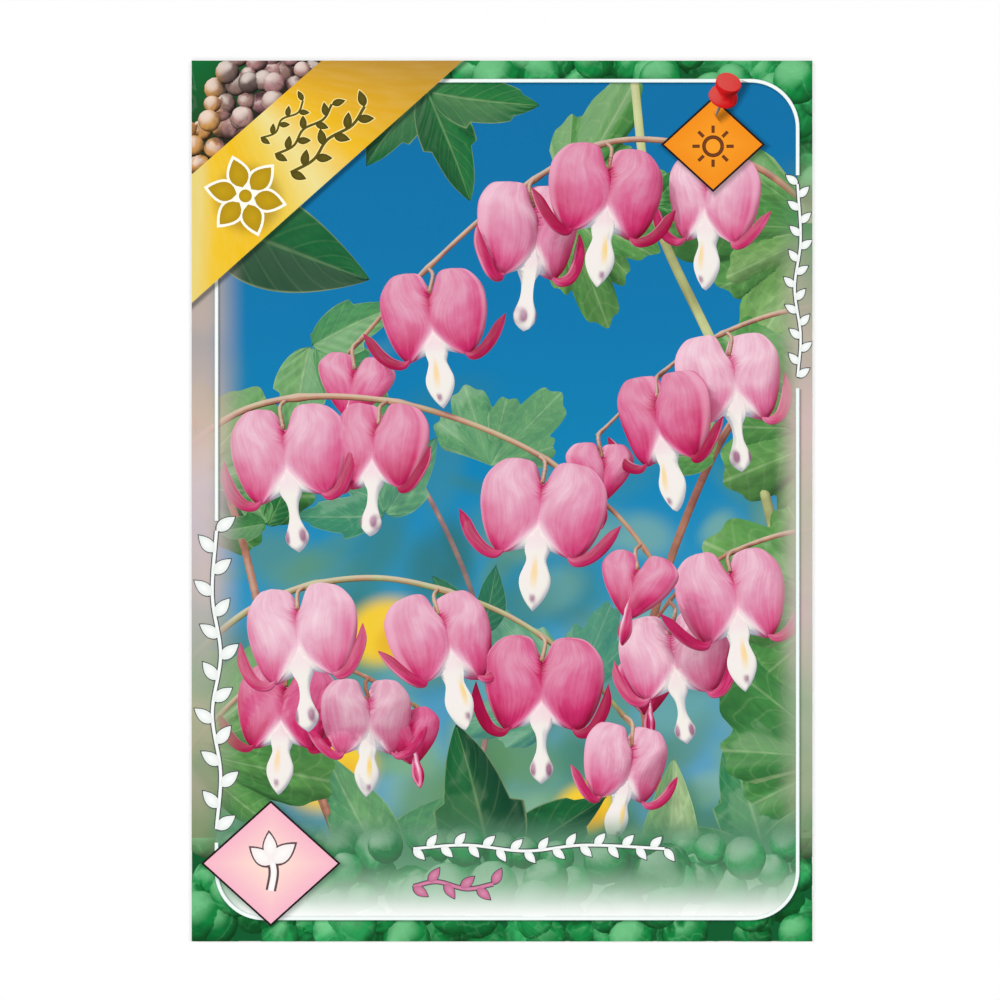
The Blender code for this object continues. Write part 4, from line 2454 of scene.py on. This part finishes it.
@dataclass
class FrameLine:
    """The white line round the picture, open where vines stand, with its thin shadow."""

    width: float = 0.60
    shadow_width: float = 1.5
    shadow_shift: Spot = (0.15, -0.15)
    left_gap: Spot = (-57.0, -4.0)
    right_gap: Spot = (19.6, 55.0)
    step: float = 0.8

    def lay(self, press: Press) -> None:
        """Prints the line's runs and their shadows.

        Args:
            press: what prints them.
        """
        path = FRAME.path()
        full = []
        for a, b in zip(path, path[1:]):
            steps = max(1, int(np.linalg.norm(b - a) / self.step))
            full += [a + (b - a) * step / steps for step in range(steps)]
        line = np.array([*full, path[-1]])
        x, y = line.T
        in_left = (x < FRAME.left + 1) & (y > self.left_gap[0]) & (y < self.left_gap[1])
        in_right = (x > FRAME.right - 1) & (y > self.right_gap[0]) & (y < self.right_gap[1])
        keep = ~(in_left | in_right)
        runs = np.split(np.arange(len(line)), np.where(np.diff(keep.astype(int)) != 0)[0] + 1)
        runs = [run for run in runs if keep[run[0]] and len(run) > 2]
        white = Relief.joined([strip(line[run], self.width) for run in runs])
        shift = np.array(self.shadow_shift)
        dark = Relief.joined([strip(line[run] + shift, self.shadow_width, 7) for run in runs])
        light_ink = PlainInk("line_ink", heart=ink(246, 252, 250), edge=ink(226, 240, 236))
        press.lay("frame_line", white, InkLayer.LINE, light_ink)
        shadow_ink = PlainInk("line_shadow_ink", heart=(0.0, 0.02, 0.02), thin=0.55)
        press.lay("frame_line_shadow", dark, InkLayer.LINE_SHADOW, shadow_ink)


@dataclass
class Badge:
    """A diamond badge with a dark rim and a soft shadow."""

    name: str
    centre: Spot
    wide: float
    high: float
    finish: PlainInk
    rim: Spot = (0.50, 0.46)
    blur: Spot = (1.7, 1.6)
    shift: float = 0.3

    def lay(self, press: Press) -> None:
        """Prints the shadow, the rim and the badge.

        Args:
            press: what prints them.
        """
        below = (self.centre[0] + self.shift, self.centre[1] - self.shift)
        shadow = disc(below, diamond(below, self.wide + self.blur[0], self.high + self.blur[1]), 8)
        shadow.marks["across"] = ease(0.80, 1.0, shadow.marks["across"])
        dark = PlainInk("badge_shadow_ink", thin=0.5)
        press.lay(self.name + "_shadow", shadow, InkLayer.BADGE_SHADOW, dark)
        edge = diamond(self.centre, self.wide + self.rim[0], self.high + self.rim[1])
        brown = PlainInk("badge_rim_ink", heart=ink(30, 20, 22))
        press.lay(self.name + "_rim", disc(self.centre, edge, 2), InkLayer.BADGE_RIM, brown)
        body = disc(self.centre, diamond(self.centre, self.wide, self.high))
        press.lay(self.name, body, InkLayer.BADGE, self.finish)


@dataclass
class SeedlingSign:
    """A white seedling with a dark edge, the picture sign of the pink badge."""

    centre: Spot
    stem: Spot = (1.0, 1.8)
    swell: float = 1.22

    def lay(self, press: Press) -> None:
        """Prints the seedling and its edge.

        Args:
            press: what prints them.
        """
        x, y = self.centre
        line = bend_through([(x, y - 4.6, 0), (x + 0.5, y - 1.5, 0), (x, y + 1.2, 0)], 14)
        leaves = [
            Petal((x + 0.1, y + 0.2), -52, 5.0, 2.7),
            Petal((x, y - 0.2), 50, 4.4, 2.4),
            Petal((x, y + 0.8), 4, 4.4, 2.2),
        ]
        front = Relief.stacked([strip(line, self.stem[0]), *(leaf.build() for leaf in leaves)])
        back = Relief.stacked([strip(line, self.stem[1]), *(leaf.build(self.swell) for leaf in leaves)])
        white = PlainInk("sign_ink", heart=ink(255, 252, 250), edge=ink(244, 236, 234))
        press.lay("seedling_sign", front, InkLayer.MOTIF, white)
        dark = PlainInk("sign_rim_ink", heart=ink(96, 74, 78))
        press.lay("seedling_sign_rim", back, InkLayer.MOTIF_RIM, dark)


@dataclass
class SunSign:
    """A brown sun, the picture sign of the orange badge."""

    centre: Spot
    radius: float = 1.55
    thick: float = 0.62
    rays: int = 8
    ray_ends: Spot = (2.25, 3.5)
    ray_thick: float = 0.55

    def lay(self, press: Press) -> None:
        """Prints the ring and its rays.

        Args:
            press: what prints them.
        """
        ring = circle(self.centre, self.radius, 28)
        parts = [strip(np.vstack([ring, ring[:1]]), self.thick)]
        for inner, outer in zip(*(circle(self.centre, end, self.rays) for end in self.ray_ends)):
            parts.append(strip(np.linspace(inner, outer, 4), self.ray_thick))
        brown = PlainInk("sun_ink", heart=ink(122, 66, 30), edge=ink(84, 44, 22))
        press.lay("sun_sign", Relief.joined(parts), InkLayer.MOTIF, brown)


@dataclass
class PushPin:
    """The red push pin at the top of the orange badge: a turned head and a steel needle."""

    foot: Place = (37.3, 68.1, 0.0)
    axis: Place = (0.24, 0.62, 0.66)
    shadow: tuple[Place, ...] = ((36.4, 64.6, 0), (38.4, 66.2, 0), (40.6, 69.6, 0), (41.2, 71.0, 0))

    def lay(self, press: Press) -> None:
        """Prints the pin and its shadow.

        Args:
            press: what prints them.
        """
        turned = Vector(self.axis).normalized().to_track_quat("Z", "Y").to_matrix().to_4x4()
        heights = [-0.1, 0.0, 0.2, 0.75, 1.1, 1.45, 2.2, 2.6, 2.75, 2.95, 4.0, 4.25, 4.35]
        radii = [0.0, 2.2, 2.50, 2.40, 1.9, 1.25, 1.1, 1.3, 1.8, 2.05, 2.20, 2.05, 0.0]
        needle = lathe([-4.6, -4.2, -2.0, 0.1, 0.15], [0.0, 0.16, 0.30, 0.32, 0.0], 12)
        needle.marks["tint"][:] = 1.0
        whole = Relief.joined([lathe(heights, radii, 36), needle]).moved(turned)
        whole.points = whole.points + np.array(self.foot)
        press.lay("push_pin", lit_alone(whole), InkLayer.PIN, PinInk("pin_ink"))
        shadow = strip(bend_through(list(self.shadow), 20), 3.0, 9)
        press.lay("pin_shadow", shadow, InkLayer.PIN_SHADOW, PlainInk("pin_shadow_ink", thin=0.5))


@dataclass
class Vine:
    """A flat ornament: a waved line with leaves on alternate sides, and a rim round both."""

    name: str
    knots: list[Spot]
    leaf: float
    spacing: float
    thick: float
    light: PlainInk
    dark: PlainInk
    rim: float = 0.34

    def shape(self, tree: NodeTree, rim: float, size: float) -> Relief:
        """Builds the line and sets its leaves with geometry nodes.

        Args:
            tree: the vine tree.
            rim: how much wider than the vine the line is.
            size: how much larger than the vine's the leaves are.

        Returns:
            The shape, cut at the card's edges.
        """
        line = bend_through([(x, y, 0.0) for x, y in self.knots], 60)
        leaf = Petal((0.0, 0.0), 0.0, 1.0, 0.52).build(size, 2)
        unit = bpy.data.objects.new("vine_leaf", leaf.mesh("vine_leaf"))
        values = {"Leaf": unit, "Spacing": self.spacing, "Size": self.leaf, "Angle": 0.85}
        leaves = grown(poly_curve(line), tree, values, self.name).upward()
        return Relief.stacked([strip(line, self.thick + rim), leaves]).within(CARD)

    def lay(self, press: Press) -> None:
        """Prints the vine and its rim.

        Args:
            press: what prints them.
        """
        press.lay(self.name, self.shape(press.vine, 0.0, 1.0), InkLayer.MOTIF, self.light)
        back = self.shape(press.vine, self.rim, 1.0 + 1.5 * self.rim / self.leaf)
        press.lay(self.name + "_rim", back, InkLayer.MOTIF_RIM, self.dark)


def vines() -> list[Vine]:
    """Lists the vines in the line's gaps, on the panel and on the band.

    Returns:
        The vines.
    """
    white = PlainInk("vine_ink", heart=ink(252, 254, 252), edge=ink(230, 236, 232))
    dark = PlainInk("vine_rim_ink", heart=ink(64, 70, 74))
    rose = PlainInk("rose_vine_ink", heart=ink(214, 140, 170), edge=ink(190, 104, 140))
    olive = PlainInk("band_vine_ink", heart=ink(98, 88, 24), edge=ink(78, 70, 18))
    glow = PlainInk("band_vine_glow_ink", heart=ink(248, 228, 150))
    left = [(-48.3, -55.5), (-47.6, -46.0), (-49.0, -36.0), (-47.6, -26.0), (-49.0, -16.0), (-48.3, -5.0)]
    right = [(50.0, 21.0), (50.5, 28.0), (49.5, 36.0), (50.5, 44.0), (50.0, 53.6)]
    caption = [(-15.0, -58.8), (-6.0, -58.2), (4.0, -59.2), (14.0, -58.2), (27.5, -58.8)]
    below = [(-15.0, -65.2), (-11.0, -64.4), (-6.0, -65.6), (-1.5, -64.8)]
    result = [
        Vine("left_vine", left, 3.9, 3.4, 0.55, white, dark),
        Vine("right_vine", right, 2.5, 2.1, 0.42, white, dark),
        Vine("caption_vine", caption, 2.7, 2.3, 0.48, white, dark),
        Vine("rose_vine", below, 3.0, 2.6, 0.6, rose, dark, 0.3),
    ]
    for index, across in enumerate((0.30, 0.55, 0.78)):
        length = 0.33 - 0.03 * index
        knots = [band_point(0.44 + length * step / 4, across + 0.03 * (-1) ** step) for step in range(5)]
        sizes = (2.9 - 0.5 * index, 2.4 - 0.3 * index, 0.5 - 0.08 * index)
        result.append(Vine(f"band_vine_{index}", knots, *sizes, olive, glow, 0.35))
    return result


@dataclass
class Rosette:
    """A gold flower rosette with a white edge and a soft shadow, on the band."""

    centre: Spot = (-43.4, 51.6)
    petals: int = 6
    turn: float = 18.0
    root: float = 1.5
    petal: Spot = (5.0, 3.3)
    hubs: Spot = (1.1, 1.9)
    swell: float = 1.28
    blur: float = 7.6
    shift: float = 0.5

    def lay(self, press: Press) -> None:
        """Prints the rosette, its edge and its shadow.

        Args:
            press: what prints them.
        """
        x, y = self.centre
        front, back = [], []
        for step in range(self.petals):
            heading = 360.0 * step / self.petals + self.turn
            turn = math.radians(heading)
            root = (x - self.root * math.sin(turn), y + self.root * math.cos(turn))
            petal = Petal(root, heading, *self.petal)
            front.append(petal.build())
            back.append(petal.build(self.swell))
        for side, hub in zip((front, back), self.hubs):
            side.append(disc(self.centre, circle(self.centre, hub, 24), 3))
        below = (x + self.shift, y - self.shift)
        blur = disc(below, circle(below, self.blur, 24), 8)
        blur.marks["across"] = ease(0.45, 1.0, blur.marks["across"])
        gold = PlainInk("rosette_ink", heart=ink(196, 158, 20), edge=ink(180, 144, 16))
        press.lay("rosette", Relief.stacked(front), InkLayer.MOTIF, gold)
        white = PlainInk("rosette_rim_ink", heart=ink(255, 252, 240))
        press.lay("rosette_rim", Relief.stacked(back), InkLayer.MOTIF_RIM, white)
        shade = PlainInk("rosette_shadow_ink", heart=(0.10, 0.06, 0.0), thin=0.38)
        press.lay("rosette_shadow", blur, InkLayer.MOTIF_SHADOW, shade)


def racemes() -> list[Raceme]:
    """Lists the flowering stems of the picture.

    Returns:
        The racemes.
    """
    upper = [(58, 44, -4), (42, 57, -2), (20, 61, 0), (2, 52, 1), (-14, 38, 2), (-26, 25, -5)]
    middle = [(-60, 4, 4), (-42, 16, 6), (-20, 17, 7), (2, 10, 8), (18, -1, 9), (27, -12, 9)]
    right = [(60, 34, -3), (44, 31, -1), (30, 24, 0), (16, 11, 1)]
    lower = [(-60, -34, 10), (-42, -18, 12), (-22, -13, 13), (-2, -18, 14), (12, -27, 15), (22, -38, 15)]
    side = [(62, -4, 6), (46, -6, 4), (32, -13, -7), (22, -26, -12)]
    foot = [(-60, -50, -6), (-42, -31, -5), (-28, -28, -4), (-14, -35, -4)]
    return [
        Raceme(upper, [0.27, 0.44, 0.56, 0.78, 0.97], [15.0, 16.0, 16.5, 15.5, 11.0], 4.0, 3, 0.2, 0.6),
        Raceme(middle, [0.27, 0.42, 0.66, 0.93], [16.5, 15.0, 17.0, 11.5], 4.5, 8, 0.3, 0.62),
        Raceme(right, [0.49, 0.74, 0.98], [15.5, 15.5, 10.5], 4.5, 5, 0.15, 0.5),
        Raceme(lower, [0.30, 0.52, 0.72, 0.97], [16.5, 16.0, 16.5, 13.2], 4.5, 12, 0.5, 0.62),
        Raceme(side, [0.50, 0.78, 0.98], [16.0, 14.8, 9.5], 4.5, 15, 0.2, 0.5),
        Raceme(foot, [0.50, 0.80, 0.98], [14.6, 13.2, 10.0], 3.5, 20, 0.3, 0.5),
    ]


def sprays() -> list[LeafSpray]:
    """Lists the leaves of the picture.

    Returns:
        The sprays of leaves.
    """
    lobed = LeafForm.LOBED
    plain = LeafForm.POINTED
    return [
        LeafSpray((-50, 46, -12), -74, 31, 2, plain, -0.25, 0.15, 0.0, 1, 0.56),
        LeafSpray((-12, 70, -10), -160, 22, 3, plain, 0.10, 0.3, 0.0, 2, 0.45),
        LeafSpray((10, 50, -14), -96, 28, 3, lobed, 0.55, 0.3, 0.0, 3, 0.7),
        LeafSpray((55, 46, -8), 118, 27, 2, lobed, 0.62, 0.25, 0.0, 4, 1.1),
        LeafSpray((58, 12, -6), 84, 27, 2, lobed, 0.55, 0.2, 0.0, 5, 1.2),
        LeafSpray((58, -18, -6), 96, 27, 2, lobed, 0.60, 0.2, 0.0, 6, 1.2),
        LeafSpray((58, -44, -6), 80, 27, 2, lobed, 0.42, 0.2, 0.0, 13, 1.2),
        LeafSpray((-54, 2, -8), -70, 24, 2, lobed, 0.5, 0.25, 0.0, 7, 1.1),
        LeafSpray((-32, 26, -16), -128, 20, 3, plain, 0.62, 0.3, 0.10, 8, 0.5),
        LeafSpray((-54, -42, -10), -70, 26, 2, lobed, 0.45, 0.25, 0.0, 9, 1.1),
        LeafSpray((-2, -66, -4), 14, 27, 3, plain, -0.1, 0.3, 0.0, 10, 0.5),
        LeafSpray((26, -68, -4), -6, 26, 3, plain, 0.88, 0.3, 0.05, 11, 0.42),
        LeafSpray((-2, 6, -18), -14, 18, 2, lobed, 0.7, 0.3, 0.18, 12, 1.0),
        LeafSpray((-20, -2, -18), 24, 17, 3, plain, 0.5, 0.3, 0.25, 14, 0.5),
        LeafSpray((12, -34, -20), 40, 20, 3, lobed, 0.6, 0.3, 0.35, 15, 0.7),
        LeafSpray((44, -64, -8), 10, 24, 3, plain, 0.45, 0.3, 0.1, 16, 0.5),
        LeafSpray((-20, -64, -10), 20, 24, 3, plain, 0.7, 0.3, 0.15, 17, 0.45),
        LeafSpray((26, 50, -7), -38, 9, 3, plain, 0.45, 0.3, 0.0, 18, 0.5),
        LeafSpray((-40, -4, -9), 34, 10, 3, plain, 0.3, 0.3, 0.0, 19, 0.5),
        LeafSpray((36, 8, -9), 60, 12, 2, plain, 0.62, 0.3, 0.0, 20, 0.5),
        LeafSpray((-4, -22, -17), 40, 13, 3, plain, 0.35, 0.3, 0.15, 21, 0.5),
    ]


def thick_stems() -> list[Stem]:
    """Lists the thick stems behind the flowers.

    Returns:
        The stems.
    """
    routes = [
        ([(44, -60, -14), (48, -20, -12), (40, 16, -10), (26, 48, -9), (22, 74, -8)], 0.95, 0.85, 0.0),
        ([(30, -62, -16), (24, -30, -15), (34, 4, -14), (50, 30, -13), (60, 44, -12)], 0.75, 0.15, 0.0),
        ([(-26, -62, -12), (-38, -30, -11), (-46, 0, -10), (-58, 24, -9)], 0.75, 0.2, 0.0),
        ([(-8, -62, -20), (-2, -30, -19), (-12, 0, -18), (-30, 22, -18)], 0.5, 0.1, 0.2),
    ]
    stems = []
    for path, thick, tint, haze in routes:
        line = bend_through(path, 50)
        stems.append(Stem(line, np.linspace(thick, thick * 0.75, len(line)), tint, haze))
    return stems


# Studio


@dataclass
class Studio:
    """Floor, lights and camera."""

    camera_place: Place = (-0.34 * MM, 0.17 * MM, 0.4704)
    lens: float = 100.0
    sensor: float = 36.0
    floor_half: float = 3.0
    lamp_size: float = 0.9
    fill: float = 0.30

    def build(self) -> None:
        """Builds the studio round the card."""
        self.floor()
        self.lamp("soft_left", Vector((-0.9, 0.35, 0.85)), 7.6)
        self.lamp("soft_right", Vector((0.9, 0.25, 0.85)), 6.8)
        self.lamp("soft_front", Vector((0.0, -0.95, 0.85)), 5.8)
        self.world()
        self.camera()

    def floor(self) -> None:
        """Lays the pale floor under the card."""
        mesh = bpy.data.meshes.new("floor")
        square = Pane(-self.floor_half, -self.floor_half, self.floor_half, self.floor_half).square()
        mesh.from_pydata([(x, y, 0) for x, y in square], [], [(0, 1, 2, 3)])
        floor = bpy.data.objects.new("floor", mesh)
        bpy.context.scene.collection.objects.link(floor)
        material = bpy.data.materials.new("pale_floor")
        material.use_nodes = True
        shader = material.node_tree.nodes["Principled BSDF"]
        shader.inputs["Base Color"].default_value = (0.96, 0.96, 0.96, 1.0)
        shader.inputs["Roughness"].default_value = 0.9
        shader.inputs["Specular IOR Level"].default_value = 0.1
        mesh.materials.append(material)

    def lamp(self, name: str, place: Vector, power: float) -> None:
        """Hangs a large soft light that faces the card.

        Args:
            name: the light's name.
            place: where it hangs.
            power: its power in watts.
        """
        light = bpy.data.lights.new(name, "AREA")
        light.shape = "DISK"
        light.size = self.lamp_size
        light.energy = power
        lamp = bpy.data.objects.new(name, light)
        lamp.location = place
        lamp.rotation_euler = (-place).to_track_quat("-Z", "Y").to_euler()
        bpy.context.scene.collection.objects.link(lamp)

    def world(self) -> None:
        """Gives the room its even fill light."""
        world = bpy.data.worlds.new("studio")
        world.use_nodes = True
        background = world.node_tree.nodes["Background"]
        background.inputs[0].default_value = (1.0, 1.0, 1.0, 1.0)
        # The room lights the card softly, and is white where the camera sees it past the floor.
        tree = Tree(world.node_tree)
        seen = tree.add("ShaderNodeLightPath").outputs["Is Camera Ray"]
        strength = tree.add("ShaderNodeMapRange", {"Value": seen, "To Min": self.fill, "To Max": 1.0})
        tree.fill(background.inputs[1], strength)
        bpy.context.scene.world = world
        bpy.context.scene.view_settings.view_transform = "Standard"

    def camera(self) -> None:
        """Puts the camera straight above the card."""
        data = bpy.data.cameras.new("camera")
        data.lens = self.lens
        data.sensor_width = self.sensor
        camera = bpy.data.objects.new("camera", data)
        camera.location = self.camera_place
        bpy.context.scene.collection.objects.link(camera)
        bpy.context.scene.camera = camera


def main() -> None:
    """Builds the card's looks and the studio."""
    logging.basicConfig(level=logging.INFO, format="%(message)s")
    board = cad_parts["card"]
    board.material_slots[0].material = BoardPaper().material()
    LOG.info("card: dressed in paperboard")
    press = Press()
    pink = PlainInk("pink_badge_ink", heart=ink(253, 226, 208), edge=ink(246, 182, 200))
    orange = PlainInk("orange_badge_ink", heart=ink(250, 160, 40), edge=ink(242, 142, 24))
    for part in (
        Ground(),
        Plant(racemes(), sprays(), thick_stems()),
        Border(),
        CaptionPanel(),
        Corner(),
        Band(),
        FrameLine(),
        Badge("pink_badge", (-39.1, -61.3), 11.3, 10.2, pink),
        Badge("orange_badge", (35.7, 60.3), 8.3, 7.6, orange),
        SeedlingSign((-39.1, -61.3)),
        SunSign((35.7, 60.0)),
        PushPin(),
        *vines(),
        Rosette(),
    ):
        part.lay(press)
    Studio().build()


if __name__ == "__main__":
    main()
